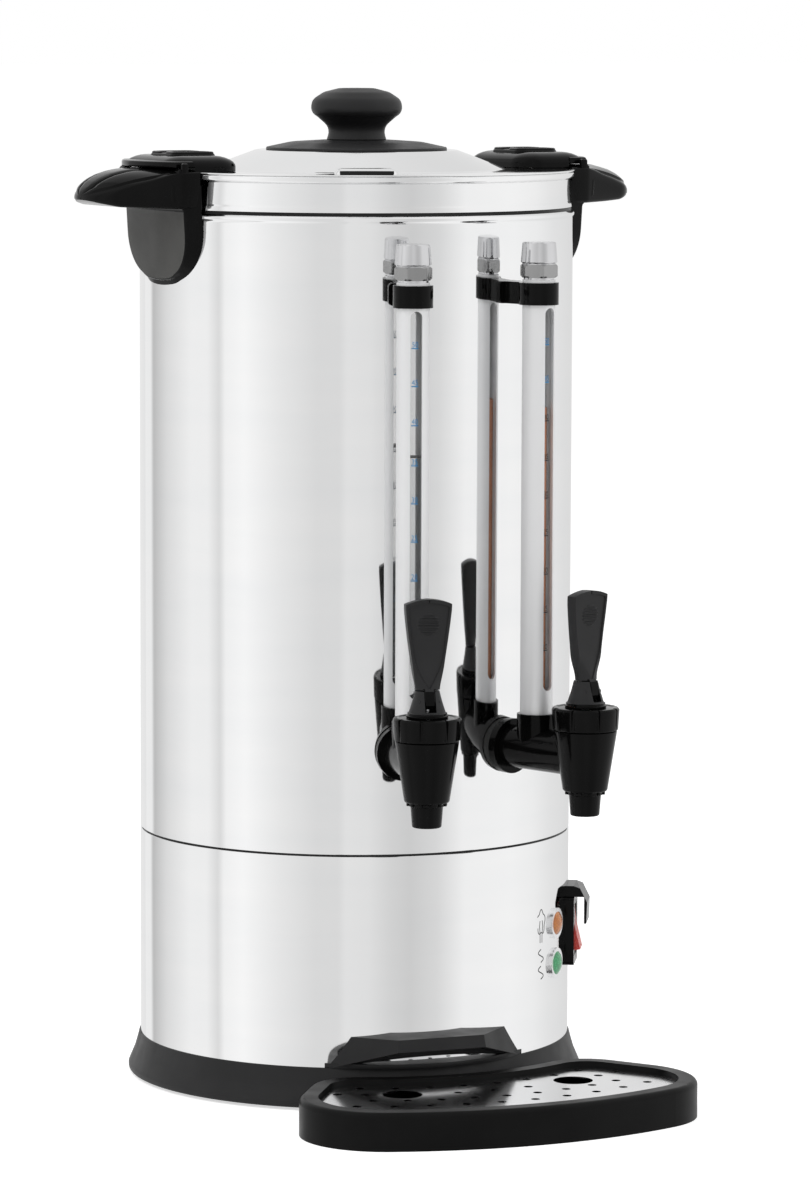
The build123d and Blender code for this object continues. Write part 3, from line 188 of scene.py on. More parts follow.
def placed(shape, matrix):
    """A shape moved by a matrix."""
    return [matrix @ Vector(point) for point in shape[0]], shape[1]


def loft(rings, caps=(True, True)):
    """A skin over rings of equal length, with or without its first and last face."""
    count = len(rings[0])
    points = [Vector(point) for ring in rings for point in ring]
    faces = []
    for ring in range(len(rings) - 1):
        low, high = ring * count, (ring + 1) * count
        for index in range(count):
            after = (index + 1) % count
            faces.append((low + index, low + after, high + after, high + index))
    if caps[0]:
        faces.append(tuple(reversed(range(count))))
    if caps[1]:
        faces.append(tuple(range(len(points) - count, len(points))))
    return points, faces


def lathe(profile, steps=192, closed=True):
    """A profile of (radius, height) turned about z. Points at radius 0 become poles."""
    points, faces, first = [], [], []
    for radius, height in profile:
        first.append(len(points))
        if radius == 0:
            points.append(Vector((0, 0, height)))
            continue
        for step in range(steps):
            turn = TURN * step / steps
            points.append(Vector((radius * cos(turn), radius * sin(turn), height)))
    for low in range(len(profile) if closed else len(profile) - 1):
        high = (low + 1) % len(profile)
        low_pole, high_pole = profile[low][0] == 0, profile[high][0] == 0
        if low_pole and high_pole:
            continue
        for step in range(steps):
            after = (step + 1) % steps
            if low_pole:
                faces.append((first[low], first[high] + after, first[high] + step))
            elif high_pole:
                faces.append((first[low] + step, first[low] + after, first[high]))
            else:
                ends = first[low] + step, first[low] + after
                faces.append((*ends, first[high] + after, first[high] + step))
    return points, faces


def turned(corners, steps=192):
    """A solid of revolution with round corners in its profile."""
    return lathe(rounded(corners), steps)


def stack(outline, levels):
    """Closed outlines stacked: outline(inset) gives (x, y) points, levels are (inset, height)."""
    return loft([[(x, y, height) for x, y in outline(inset)] for inset, height in levels])


def round_box(width, depth, corner, steps=6):
    """The outline of a rounded rectangle as a function of how far it is moved inwards."""

    def outline(inset):
        across_half, along_half = width / 2 - inset, depth / 2 - inset
        radius = max(corner - inset, 0.15)
        points = []
        for quarter in range(4):
            turn = quarter * pi / 2
            sign_x = 1 if quarter in (0, 3) else -1
            sign_y = 1 if quarter in (0, 1) else -1
            for step in range(steps + 1):
                angle = turn + step / steps * pi / 2
                x = sign_x * (across_half - radius) + radius * cos(angle)
                y = sign_y * (along_half - radius) + radius * sin(angle)
                points.append((x, y))
        return points

    return outline


def smooth(low, high, value):
    """0 below low, 1 above high and an S between them."""
    share = min(max((value - low) / (high - low), 0), 1)
    return share * share * (3 - 2 * share)


def along(table, value):
    """Straight-line interpolation in a list of (x, y)."""
    if value <= table[0][0]:
        return table[0][1]
    for (x0, y0), (x1, y1) in zip(table, table[1:]):
        if value <= x1:
            return y0 + (y1 - y0) * (value - x0) / (x1 - x0)
    return table[-1][1]


# ---- materials
def add_node(tree, kind, **settings):
    node = tree.nodes.new("ShaderNode" + kind)
    for key, value in settings.items():
        setattr(node, key, value)
    return node


def fill(node, values):
    """Values for a node's inputs, by name."""
    for key, value in values.items():
        node.inputs[key].default_value = value


def rgba(colour):
    """Three numbers as a colour, or one number as a grey."""
    return (*colour, 1) if isinstance(colour, tuple) else (colour, colour, colour, 1)


class Nodes:
    """A material and short ways to add the nodes that make it."""

    def __init__(self, name):
        self.material = bpy.data.materials.new(name)
        self.material.use_nodes = True
        self.tree = self.material.node_tree
        self.shader = self.tree.nodes["Principled BSDF"]
        self.where = self.add("TexCoord").outputs["Object"]

    def add(self, kind, **settings):
        return add_node(self.tree, kind, **settings)

    def link(self, source, target):
        self.tree.links.new(source, target)

    def set(self, **values):
        fill(self.shader, {key.replace("_", " "): value for key, value in values.items()})

    def stretch(self, scale):
        mapping = self.add("Mapping")
        fill(mapping, {"Scale": scale})
        self.link(self.where, mapping.inputs["Vector"])
        return mapping.outputs["Vector"]

    def noise(self, scale, detail=3.0, stretch=None):
        node = self.add("TexNoise")
        fill(node, {"Scale": scale, "Detail": detail})
        self.link(self.stretch(stretch) if stretch else self.where, node.inputs["Vector"])
        return node.outputs["Fac"]

    def remap(self, source, low, high, start=0.3, end=0.7):
        node = self.add("MapRange")
        fill(node, {"From Min": start, "From Max": end, "To Min": low, "To Max": high})
        self.link(source, node.inputs["Value"])
        return node.outputs["Result"]

    def tint(self, source, dark, light):
        node = self.add("Mix", data_type="RGBA")
        fill(node, {"A": rgba(dark), "B": rgba(light)})
        self.link(source, node.inputs["Factor"])
        self.link(node.outputs["Result"], self.shader.inputs["Base Color"])

    def bump(self, source, distance, strength=1.0):
        node = self.add("Bump")
        fill(node, {"Distance": distance * MM, "Strength": strength})
        self.link(source, node.inputs["Height"])
        self.link(node.outputs["Normal"], self.shader.inputs["Normal"])

    def rough(self, source):
        self.link(source, self.shader.inputs["Roughness"])


def moulded(name, dark, light, gloss, grain, depth, shine=0.5):
    """Moulded plastic or rubber: slight colour and gloss variation over a fine grain."""
    nodes = Nodes(name)
    nodes.tint(nodes.remap(nodes.noise(28, 4), 0, 1), dark, light)
    nodes.rough(nodes.remap(nodes.noise(70, 5), *gloss))
    nodes.bump(nodes.noise(grain, 2), depth, 0.6)
    nodes.set(Specular_IOR_Level=shine)
    return nodes.material


def metal(name, dark, light, gloss, grain, depth, stretch, metallic=1.0):
    """Bare metal: a drawn or polished grain with faint wipe marks in its gloss."""
    nodes = Nodes(name)
    nodes.set(Metallic=metallic)
    nodes.tint(nodes.remap(nodes.noise(9, 3, stretch), 0, 1), dark, light)
    nodes.rough(nodes.remap(nodes.noise(14, 6), *gloss))
    nodes.bump(nodes.noise(grain, 3, stretch), depth, 0.5)
    return nodes.material


# Each finish: its darkest and lightest colour, its range of roughness, the scale of its
# grain and the grain's depth in millimetres, then how the grain is stretched on metal,
# or how much plastic shines.
steel = metal("polished_steel", (0.87, 0.875, 0.88), 0.9, (0.035, 0.06), 60, 0.0015, (1, 1, 6))
plain_tones = (0.52, 0.53, 0.54), (0.62, 0.62, 0.63)
steel_plain = metal("plain_steel", *plain_tones, (0.25, 0.38), 400, 0.01, (1, 1, 4))
# A dark steel that stands for shade: the painted shade of the seams' dark lines and of the vent's
# opening.
steel_painted_shade = metal("shadowed_steel", 0.02, 0.035, (0.3, 0.5), 90, 0.004, (1, 1, 6))
steel_brushed = metal("brushed_plate", (0.8, 0.8, 0.81), 0.88, (0.1, 0.16), 500, 0.002, (0.3, 3, 1))
satin_tones = (0.84, 0.845, 0.85), (0.88, 0.88, 0.885)
aluminium = metal("satin_aluminium", *satin_tones, (0.5, 0.56), 700, 0.002, (1, 1, 0.3), metallic=0.55)
hexagon_grey = metal("hexagon_grey", 0.3, 0.38, (0.22, 0.3), 300, 0.002, (1, 1, 2))
plated_tones = (0.6, 0.6, 0.61), (0.68, 0.68, 0.69)
chrome = metal("chrome_plate", *plated_tones, (0.04, 0.08), 200, 0.001, (1, 1, 2))
bright = metal("bright_ring", (0.86, 0.86, 0.87), 0.9, (0.2, 0.28), 300, 0.002, (1, 1, 2))
gloss_black = moulded("gloss_black", 0.002, 0.004, (0.09, 0.15), 500, 0.006, 0.1)
deep_tones = (0.01, 0.01, 0.0105), (0.016, 0.016, 0.0165)
satin_black = moulded("satin_black", *deep_tones, (0.38, 0.5), 1400, 0.02, 0.3)
coal_tones = (0.018, 0.018, 0.0185), (0.024, 0.024, 0.025)
charcoal = moulded("charcoal", *coal_tones, (0.38, 0.48), 1600, 0.02, 0.22)
# The handle panel's grey is a painted reflection: the sheen of its glossy face, painted as a lighter
# colour.
panel_sheen_tones = (0.05, 0.05, 0.047), (0.066, 0.065, 0.061)
panel_painted_sheen = moulded("panel_painted_sheen", *panel_sheen_tones, (0.4, 0.5), 1500, 0.02, 0.3)
tray_black = moulded("tray_black", 0.003, 0.006, (0.3, 0.4), 1200, 0.012, 0.1)
matte_black = moulded("matte_black", 0.009, (0.014, 0.014, 0.0145), (0.5, 0.62), 1500, 0.03, 0.3)
rubber = moulded("rubber", 0.018, (0.03, 0.03, 0.029), (0.7, 0.85), 900, 0.04)
red = moulded("rocker_red", (0.75, 0.012, 0.006), (0.9, 0.02, 0.01), (0.2, 0.3), 300, 0.01, 0.25)
tea = moulded("tea", (0.5, 0.18, 0.075), (0.58, 0.23, 0.1), (0.3, 0.4), 60, 0.01, 0.1)


def see_through(name, colour, roughness, density):
    """Thin clear plastic: mostly see-through, with a light sheen."""
    nodes = Nodes(name)
    nodes.set(Alpha=density, Base_Color=rgba(colour))
    nodes.rough(nodes.remap(nodes.noise(60, 3), roughness, roughness + 0.04))
    nodes.bump(nodes.noise(90, 2), 0.02, 0.3)
    return nodes.material


glass = see_through("gauge_glass", (0.8, 0.82, 0.83), 0.04, 0.05)
cover_plastic = see_through("clear_cover", (0.75, 0.7, 0.62), 0.1, 0.05)
water = see_through("water", (0.75, 0.77, 0.78), 0.05, 0.1)


def ink(name, dark, light):
    """Printed marks: slightly uneven and half matt."""
    nodes = Nodes(name)
    nodes.tint(nodes.remap(nodes.noise(300, 4), 0, 1), dark, light)
    nodes.rough(nodes.remap(nodes.noise(400, 3), 0.4, 0.55))
    return nodes.material


blue_ink = ink("blue_ink", (0.03, 0.22, 0.5), (0.05, 0.3, 0.58))
# Black ink prints the numbers and signs, and also paints the water's surface line as painted shade.
black_ink_and_shade = ink("black_ink_and_shade", 0.01, 0.025)


def jewel(name, dark, light, glow):
    """A lamp lens: coloured plastic with moulded cells under its smooth dome."""
    nodes = Nodes(name)
    cells = nodes.add("TexVoronoi", feature="DISTANCE_TO_EDGE")
    fill(cells, {"Scale": 720})
    nodes.link(nodes.where, cells.inputs["Vector"])
    nodes.tint(nodes.remap(cells.outputs["Distance"], 0, 1, 0.0, 0.45), dark, light)
    nodes.bump(cells.outputs["Distance"], 0.25, 0.5)
    nodes.rough(nodes.remap(nodes.noise(200, 2), 0.1, 0.18))
    nodes.set(Transmission_Weight=0.35, IOR=1.5, Coat_Weight=0.7)
    nodes.set(Emission_Color=rgba(glow), Emission_Strength=0.12)
    return nodes.material


amber = jewel("amber_jewel", (0.3, 0.07, 0.005), (0.85, 0.33, 0.04), (0.9, 0.3, 0.02))
green = jewel("green_jewel", (0.01, 0.16, 0.06), (0.1, 0.62, 0.26), (0.05, 0.6, 0.2))


# ---- camera, light and floor
WHITE = (1, 1, 1, 1)


def make_camera():
    data = bpy.data.cameras.new("camera")
    data.sensor_width = sensor
    data.lens = focal_pixels / image_height * sensor
    data.clip_start, data.clip_end = 0.05, 100
    camera = new_object("camera", data)
    turn, pitch, roll = radians(camera_heading), radians(camera_pitch), radians(camera_roll)
    back = Vector((sin(turn) * cos(pitch), -cos(turn) * cos(pitch), sin(pitch)))
    right = Vector((cos(turn), sin(turn), 0))
    up = back.cross(right)
    tilted_right = right * cos(roll) + up * sin(roll)
    tilted_up = up * cos(roll) - right * sin(roll)
    eye = heading(camera_heading, camera_distance, camera_height) + right * camera_shift
    camera.matrix_world = from_axes(tilted_right, tilted_up, back, [value * MM for value in eye])
    bpy.context.scene.camera = camera


# What the mirror-like steel sees all round it, as (heading from the camera, sRGB value).
STUDIO_BANDS = (
    (-180, 0.88), (-141, 0.91), (-137, 0.725), (-120, 0.85), (-98, 0.93), (-85, 0.93),
    (-77, 0.85), (-73, 0.94), (-61, 0.965), (-40, 0.9), (-20, 0.847), (-8, 0.847),
    (-4, 0.88), (8, 0.87), (20, 0.82), (30, 0.795), (45, 0.84), (61, 0.935),
    (92, 0.945), (112, 0.925), (129, 0.885), (168, 0.83),
)


def linear(value):
    """An sRGB value as linear light."""
    return value / 12.92 if value <= 0.04045 else ((value + 0.055) / 1.055) ** 2.4


def studio_bands(tree, direction):
    """The studio's grey in a direction."""
    link = tree.links.new
    split = add_node(tree, "SeparateXYZ")
    link(direction, split.inputs["Vector"])
    back = add_node(tree, "Math", operation="MULTIPLY")
    back.inputs[1].default_value = -1
    link(split.outputs["Y"], back.inputs[0])
    turn = add_node(tree, "Math", operation="ARCTAN2")
    link(split.outputs["X"], turn.inputs[0])
    link(back.outputs[0], turn.inputs[1])
    share = add_node(tree, "MapRange")
    fill(share, {"From Min": -pi, "From Max": pi})
    link(turn.outputs[0], share.inputs["Value"])
    ramp = add_node(tree, "ValToRGB")
    link(share.outputs["Result"], ramp.inputs["Fac"])
    stops = []
    for angle, value in STUDIO_BANDS:
        place = (angle + camera_heading + 180) % 360 / 360
        stops.append((place, linear(value)))
    stops.sort()
    elements = ramp.color_ramp.elements
    while len(elements) < len(stops):
        elements.new(0.5)
    for element, (place, value) in zip(elements, stops):
        element.position = place
        element.color = rgba(value)
    return ramp.outputs["Color"]


def camera_or(tree, other):
    """1 for rays from the camera and one other kind, then 1 for glossy rays."""
    path = add_node(tree, "LightPath")
    seen = add_node(tree, "Math", operation="MAXIMUM")
    tree.links.new(path.outputs["Is Camera Ray"], seen.inputs[0])
    tree.links.new(path.outputs[other], seen.inputs[1])
    return seen.outputs[0], path.outputs["Is Glossy Ray"]


def mix_shaders(tree, factor, first, second):
    mix = add_node(tree, "MixShader")
    for source, target in zip((factor, first, second), mix.inputs):
        tree.links.new(source, target)
    return mix.outputs[0]


def make_world():
    world = bpy.data.worlds.new("studio")
    bpy.context.scene.world = world
    world.use_nodes = True
    tree = world.node_tree
    tree.nodes.clear()

    def background(strength):
        node = add_node(tree, "Background")
        fill(node, {"Color": WHITE, "Strength": strength})
        return node

    bands, soft, white = background(1.12), background(0.5), background(1.0)
    where = add_node(tree, "TexCoord").outputs["Generated"]
    tree.links.new(studio_bands(tree, where), bands.inputs["Color"])
    seen, glossy = camera_or(tree, "Is Transmission Ray")
    lit = mix_shaders(tree, glossy, soft.outputs[0], bands.outputs[0])
    output = add_node(tree, "OutputWorld")
    tree.links.new(mix_shaders(tree, seen, lit, white.outputs[0]), output.inputs["Surface"])


SQUARE = ((-1, -1), (1, -1), (1, 1), (-1, 1))
floor_reach = 40.0
floor_glow = 0.62


def make_floor():
    """A pale floor that shows white to the camera and keeps the urn's shadow."""
    mesh = bpy.data.meshes.new("floor")
    corners = [(x * floor_reach, y * floor_reach, cad_low.z) for x, y in SQUARE]
    mesh.from_pydata(corners, [], [(0, 1, 2, 3)])
    floor = new_object("floor", mesh)
    material = bpy.data.materials.new("floor")
    material.use_nodes = True
    tree = material.node_tree
    shader = tree.nodes["Principled BSDF"]
    fill(shader, {"Base Color": rgba(0.8), "Roughness": 0.9, "Specular IOR Level": 0.0})
    fill(shader, {"Emission Color": WHITE})
    seen, glossy = camera_or(tree, "Is Transmission Ray")
    lift = add_node(tree, "Math", operation="MULTIPLY")
    lift.inputs[1].default_value = floor_glow
    tree.links.new(seen, lift.inputs[0])
    tree.links.new(lift.outputs[0], shader.inputs["Emission Strength"])
    beyond = add_node(tree, "BsdfTransparent")
    output = tree.nodes["Material Output"]
    surface = mix_shaders(tree, glossy, shader.outputs[0], beyond.outputs[0])
    tree.links.new(surface, output.inputs["Surface"])
    mesh.materials.append(material)


# Each lamp's name, heading, distance, height and size in metres, and power in watts.
LAMPS = (
    ("key", -75, 1.6, 1.9, 1.2, 20),
    ("fill", 35, 1.9, 1.3, 1.4, 10),
    ("top", 150, 0.8, 2.2, 1.6, 10),
)
lamp_target = Vector((0, 0, 0.25))


def make_light(name, angle, distance, height, size, power):
    data = bpy.data.lights.new(name, "AREA")
    data.shape = "DISK"
    data.size = size
    data.energy = power
    light = new_object(name, data)
    place = heading(angle, distance, height)
    light.location = place
    light.rotation_mode = "QUATERNION"
    light.rotation_quaternion = (place - lamp_target).to_track_quat("Z", "Y")
    light.visible_glossy = False


make_camera()
make_world()
make_floor()
for lamp in LAMPS:
    make_light(*lamp)
bpy.context.scene.view_settings.view_transform = "Standard"

# ---- CAD nodes that stay as they are
def both(*names):
    return tuple(f"{name}_{side}" for name in names for side in tap_headings)


fasteners = ("base_screws", "tie_rods", "handle_screws", "lid_screws")
heater_parts = ("heating_tube", "heater_plate", "thermostat", "thermal_cutout", "tank_divider")
panel_parts = ("switch_body", "switch_hood", "gauge_clips", "tap_nuts")
stays = {
    matte_black: ("base_plate", "cord_gland", "gland_nut"),
    rubber: ("rubber_feet", "tap_gaskets", "gauge_seals", *both("seat_cup")),
    steel_plain: fasteners + heater_parts + both("valve_spring", "valve_stem"),
    steel_brushed: ("drip_grid",),
    gloss_black: panel_parts + both("tap_arm", "tap_body", "tap_cap"),
    charcoal: ("pivot_pins", *both("tap_bonnet")),
    satin_black: ("tray_holder",),
    tray_black: ("drip_tray",),
    aluminium: both("gauge_tube"),
    bright: ("lamp_bezels",),
    glass: ("gauge_glasses",),
    cover_plastic: ("splash_cover",),
    amber: ("amber_lens",),
    green: ("green_lens",),
    red: ("rocker",),
}
for material, names in stays.items():
    for name in names:
        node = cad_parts[name]
        for index in range(len(node.data.materials)):
            node.data.materials[index] = material

# ---- base, shells, rim and tank
shell_steps = 256
seam_gap = 0.9
lip = housing_inner - 0.1
lip_rise = 11
plate_radius = 99.0
plate_seat = 9.2
seat_radius = 107.7

ring_profile = [
    (106.0, 0), (109.5, 0, 0.4), (109.5, 14.0), (112.0, 14.0), (115.0, 0, 0.4),
    (base_radius - 0.3, 0, 1.2), (base_radius - 0.1, 3.0, 2.0), (115.2, 10.5, 12.0),
    (body_radius + 1.5, 16.5, 4.0), (body_radius + 0.6, base_height, 0.5),
    (housing_inner - 0.2, base_height), (housing_inner - 0.2, base_height + 8),
    (seat_radius, base_height + 8), (seat_radius, plate_seat), (plate_radius, plate_seat),
    (plate_radius, 1.2), (106.0, 1.2),
]
dress("base_ring", turned(ring_profile), satin_black, "urn", "black_matte")


def near_lip(centre):
    """The lip in the seam under the shell, given the dark steel as painted shade for the seam's dark
    line.
    """
    in_seam = seam_height - 1 < centre.z < seam_height + 1.5
    return in_seam and hypot(centre.x, centre.y) < lip + 0.2


housing_profile = [
    (housing_inner, base_height), (body_radius, base_height),
    (body_radius, seam_height - seam_gap, 0.35), (lip, seam_height - seam_gap),
    (lip, seam_height + 1.2), (lip, seam_height + lip_rise), (lip - sheet, seam_height + lip_rise),
    (lip - sheet, seam_height - 1.5), (housing_inner, seam_height - 2.5),
]
housing = turned(housing_profile, shell_steps)
dress("lower_housing", housing, steel, "urn", "steel_polished", paint=(steel_painted_shade, near_lip))

shell_profile = [
    (housing_inner, seam_height + 0.1), (body_radius, seam_height + 0.1, 0.35),
    (body_radius, shell_top - 4.0, 2), (body_radius + 0.8, shell_top - 2.8, 1),
    (body_radius + 0.8, shell_top - 1.4, 1.0), (body_radius - 0.2, shell_top - 0.4, 0.3),
    (housing_inner, shell_top - 0.4),
]
dress("body_shell", turned(shell_profile, shell_steps), steel, "urn", "steel_polished")


def near_collar_lip(centre):
    """The lip in the seam over the shell, given the dark steel as painted shade for the seam's dark
    line.
    """
    return centre.z < shell_top + 1.3


collar_profile = [
    (lip - sheet, shell_top - lip_rise), (lip, shell_top - lip_rise), (lip, shell_top + 1.0),
    (body_radius - 0.4, shell_top + 1.0, 0.5), (body_radius - 0.6, shell_top + 3.6, 1.2),
    (lip, shell_top + 4.6, 1.5), (lip - 0.5, rim_height, 0.6), (tank_radius + 1, rim_height),
    (tank_radius + 1, rim_height - sheet), (lip - sheet - 0.5, rim_height - sheet, 0.4),
    (lip - sheet, shell_top + 4),
]
collar = turned(collar_profile, shell_steps)
dress("top_collar", collar, steel, "urn", "steel_polished", paint=(steel_painted_shade, near_collar_lip))

tank_profile = [
    (0, tank_floor - sheet), (tank_radius + sheet, tank_floor - sheet, 3.0),
    (tank_radius + sheet, rim_height, 0.3), (rim_radius - 0.1, rim_height, 1.3),
    (rim_radius - 0.1, rim_top, 1.2), (rim_radius - 3.1, rim_top, 1.2),
    (rim_radius - 3.1, rim_height + sheet, 0.5), (tank_radius, rim_height + sheet, 0.6),
    (tank_radius, tank_floor, 3.0), (0, tank_floor),
]
dress("inner_tank", turned(tank_profile, shell_steps), steel, "urn", "steel_polished")

# ---- lid
lid_profile = [
    (0, plateau_height), (plateau_radius, plateau_height, 5), (slope_foot, lid_flange, 5),
    (rim_radius + 0.1, lid_flange, 0.35), (rim_radius + 0.1, rim_top, 0.2),
    (tank_radius - 1.0, rim_top, 0.3), (tank_radius - 1.0, 458.0), (tank_radius - 1.8, 458.0),
    (tank_radius - 1.8, rim_top, 0.3), (slope_foot - 0.2, rim_top, 5),
    (plateau_radius - 0.2, plateau_height - sheet, 5), (0, plateau_height - sheet),
]
dress("lid_pan", turned(lid_profile, shell_steps), steel, "lid", "steel_polished")

screw_bore = 2.2
knob_foot = plateau_height + 5.0
knob_base_profile = [
    (screw_bore, plateau_height), (46.8, plateau_height, 0.3), (46.6, plateau_height + 1.3, 0.6),
    (34.0, plateau_height + 4.0, 25), (18.5, knob_foot, 2), (screw_bore, knob_foot),
]
dress("knob_base", turned(knob_base_profile), satin_black, "lid", "black_matte")

knob_profile = [
    (0, knob_foot), (15.5, knob_foot, 0.5), (13.6, knob_foot + 6, 6), (20.4, knob_foot + 12, 4),
    (23.9, knob_foot + 14.0, 5), (23.0, knob_foot + 20.6, 5), (17.0, knob_foot + 24.6, 8),
    (9.0, knob_foot + 26.6, 10), (0, knob_foot + 26.7),
]
dress("lid_knob", turned(knob_profile), satin_black, "lid", "black_matte")

# ---- handles
# Each line is (reach, height), but groove_line is (reach, distance from the middle).
handle_reach = 157.0
half_width = 36.5
tip_half = 23.5
shoulder = 116.6
tip_start = 145.0
tongue_low = 412.5
tongue_corner = 24.0
grip_root = 113.65
panel_reach = 119.0
panel_top = 450.4
bead_foot = 445.5
crest_line = [(112, 472.3), (124, 472.2), (131, 471.9), (137, 471.0), (143, 469.6)]
crest_line += [(148, 467.6), (152, 465.2), (155, 462.4), (156.5, 460.2), (157, 458.6)]
edge_line = [(112, 470.6), (119, 470.0), (128, 468.0), (138, 465.2), (148, 461.6)]
edge_line += [(154, 459.4), (157, 458.2)]
groove_line = [(112, 11.0), (128, 11.0), (140, 9.5), (151, 8.0), (157, 7.0)]
under_line = [(112, 452.0), (118, 452.0), (134, 452.4), (145, 453.0), (152, 454.6), (157, 456.2)]


def grip_half(reach):
    """Half the grip's width at this distance from the axis."""
    if reach <= shoulder:
        return half_width
    if reach <= tip_start:
        return half_width - (reach - shoulder) * (half_width - tip_half) / (tip_start - shoulder)
    # The tip is a superellipse.
    share = min((reach - tip_start) / (handle_reach - tip_start), 1.0)
    return tip_half * (1 - share ** (1 / 0.75)) ** (1 / 2.2)


def grip_lines(reach):
    """Where the groove and the side step run, and how far they shrink at the tip."""
    half = max(grip_half(reach), 0.5)
    groove = min(along(groove_line, reach), 0.5 * half)
    shrink = min(1.0, half / 15)
    return half, groove, half - 3.4 * shrink, shrink


def grip_top(reach, offset):
    """Height of the grip's top: a falling crest, grooves and a step near each side."""
    half, groove, step, shrink = grip_lines(reach)
    offset = abs(offset)
    crest, edge = along(crest_line, reach), along(edge_line, reach)
    height = crest - (crest - edge) * min(offset / half, 1.0) ** 2.6
    height -= 2.4 * shrink * (1 - smooth(0.2 * shrink, 0.9 * shrink, abs(offset - groove)))
    height -= 0.5 * shrink * (1 - smooth(0.9 * shrink, 2.6 * shrink, abs(offset - groove)))
    height -= 1.1 * shrink * smooth(step, step + 0.5 * shrink, offset) * smooth(120, 132, reach)
    return height


def grip_section(reach):
    """One closed section across the grip: top, side, underside, side."""
    half, groove, step, shrink = grip_lines(reach)
    low = along(under_line, reach)
    marks = [groove * share for share in (0.2, 0.4, 0.6, 0.8)]
    moves = (-1.8, -1.2, -0.85, -0.5, -0.2, 0.2, 0.5, 0.85, 1.2, 1.8)
    marks += [groove + shrink * move for move in moves]
    start, end = groove + 1.8 * shrink, step - 0.4 * shrink
    marks += [start + (end - start) * index / 8 for index in range(1, 8)]
    marks += [step + shrink * move for move in (-0.2, 0, 0.25, 0.5, 0.8)]
    marks += [half - shrink * move for move in (1.8, 1.0, 0.5, 0.2)] + [half]
    top = []
    for offset in [-mark for mark in reversed(marks)] + [0] + marks:
        rim = max(abs(offset) - (half - 0.9 * shrink), 0) / (0.9 * shrink)
        top.append((offset, max(grip_top(reach, offset) - 0.9 * rim * rim, low + 0.4)))
    side = top[-1][1] - low
    down = [
        (half, top[-1][1] - side * 0.25),
        (half - 0.1, low + side * 0.45),
        (half - 0.4, low + 1.6),
        (half - 1.1, low + 0.5),
        (half - 2.2, low),
    ]
    bottom = [((half - 2.2) * (1 - index / 6), low) for index in range(1, 12)]
    outline = top + down + bottom + [(-x, z) for x, z in reversed(down)]
    return [Vector((reach, x, z)) for x, z in outline]


def tongue_face(height):
    """The tongue's outer face, which flares into the grip above it."""
    flare = min(max(height - panel_top, 0), 4)
    return 113.3 + (height - tongue_low) * 0.06 + 0.4 * flare * flare


def handle(angle, node):
    """A grip lofted outwards, the tongue under it and the lugs that hold it to the rim."""
    reaches = [113.7, 116.6, 119, 122, 125, 129, 133, 137, 140, 143, 145, 147, 149, 150.5, 152]
    reaches += [153.2, 154.2, 155, 155.7, 156.2, 156.6, 156.85, 156.97]
    sections = [grip_section(reach) for reach in reaches]
    root = [Vector((sqrt(grip_root**2 - point.y**2), point.y, point.z)) for point in sections[0]]
    grip = loft([root] + sections[1:])

    def bottom(y):
        return tongue_low + 2.2 * min(abs(y) / 20, 1.0) ** 2

    right_side = []
    for turn in range(17):
        bend = radians(90 * turn / 16)
        side = half_width - tongue_corner + tongue_corner * sin(bend)
        rise = tongue_low + tongue_corner - tongue_corner * cos(bend)
        right_side.append((side, rise + bottom(side) - tongue_low, sin(bend), -cos(bend)))
    rises = [440, 444, 448, panel_top, 451.2, 452.2, 453.5, 456, 460, 463.8]
    right_side += [(half_width, rise, 1, 0) for rise in rises]
    left_side = [(-y, z, -ny, nz) for y, z, ny, nz in reversed(right_side)]
    ends = [(y, 463.9, 0, 1) for y in (30, 20, 10, 0, -10, -20, -30)]
    across_bottom = [(y, bottom(y), 0, -1) for y in (-8, -4, 0, 4, 8)]
    loop = right_side + ends + left_side + across_bottom

    def shell_gap(y, z):
        radius = body_radius + (0.06 if z < bead_foot else 1.05)
        return sqrt(radius**2 - y * y)

    def ring(inset, reach_at):
        points = []
        for y, z, ny, nz in loop:
            moved_y, moved_z = y - ny * inset, z - nz * inset * (nz < 0.5)
            points.append(Vector((reach_at(moved_y, moved_z), moved_y, moved_z)))
        return points

    rings = [ring(0, shell_gap)]
    for inset, depth in ((2.1, 1.2), (2.35, 0.5), (2.75, 0.12), (3.2, 0.0)):
        rings.append(ring(inset, lambda y, z, depth=depth: tongue_face(z) - depth))
    points, faces = loft(rings, caps=(True, False))
    count, rows, last = len(loop), len(right_side), (len(rings) - 1) * len(loop)
    first_left = rows + len(ends)
    for row in range(rows - 1):
        right, left = last + row, last + first_left + rows - 1 - row
        faces.append((right, right + 1, left - 1, left))
    faces.append((last + rows - 1, *range(last + rows, last + first_left + 1)))
    faces.append((last, last + first_left + rows - 1, *range(last + first_left + rows, last + count)))

    lugs = []
    for side in (-1, 1):
        lug = stack(round_box(3.6, 3.2, 0.8, 3), [(0, 462), (0, 474.0), (0.3, 474.6), (0.9, 474.9)])
        lugs.append(placed(lug, Matrix.Translation((115.5, side * 34.4, 0))))
        brace = stack(round_box(5.0, 7.0, 1.0, 3), [(0, 455), (0, 471.0), (0.8, 472.0)])
        lugs.append(placed(brace, Matrix.Translation((116.4, side * 32.0, 0))))

    # The tongue's front panel is painted lighter grey: a painted reflection of its glossy face.
    def is_panel(spot):
        on_tongue = spot.z <= panel_top and spot.x <= panel_reach
        return on_tongue and spot.x > tongue_face(spot.z) - 0.04

    shape = join_shapes(grip, (points, faces), *lugs)
    look = {"sharp": 34, "paint": (panel_painted_sheen, is_panel), "place": stand(angle)}
    dress(node, shape, gloss_black, "urn", "black_gloss", **look)


for side, angle in handle_headings.items():
    handle(angle, f"handle_{side}")

# ---- lid edge plates
wing_half = 31.8
thumb_reach = 99.7
bow_centre = 65.5
bow_radius = 62
flange_inner = rim_radius + 0.45


def plan(centre, width, depth, corner):
    """A rounded rectangle about a point on the local x axis."""
    shape = round_box(width, depth, corner, 8)
    return lambda inset: [(x + centre, y) for x, y in shape(inset)]


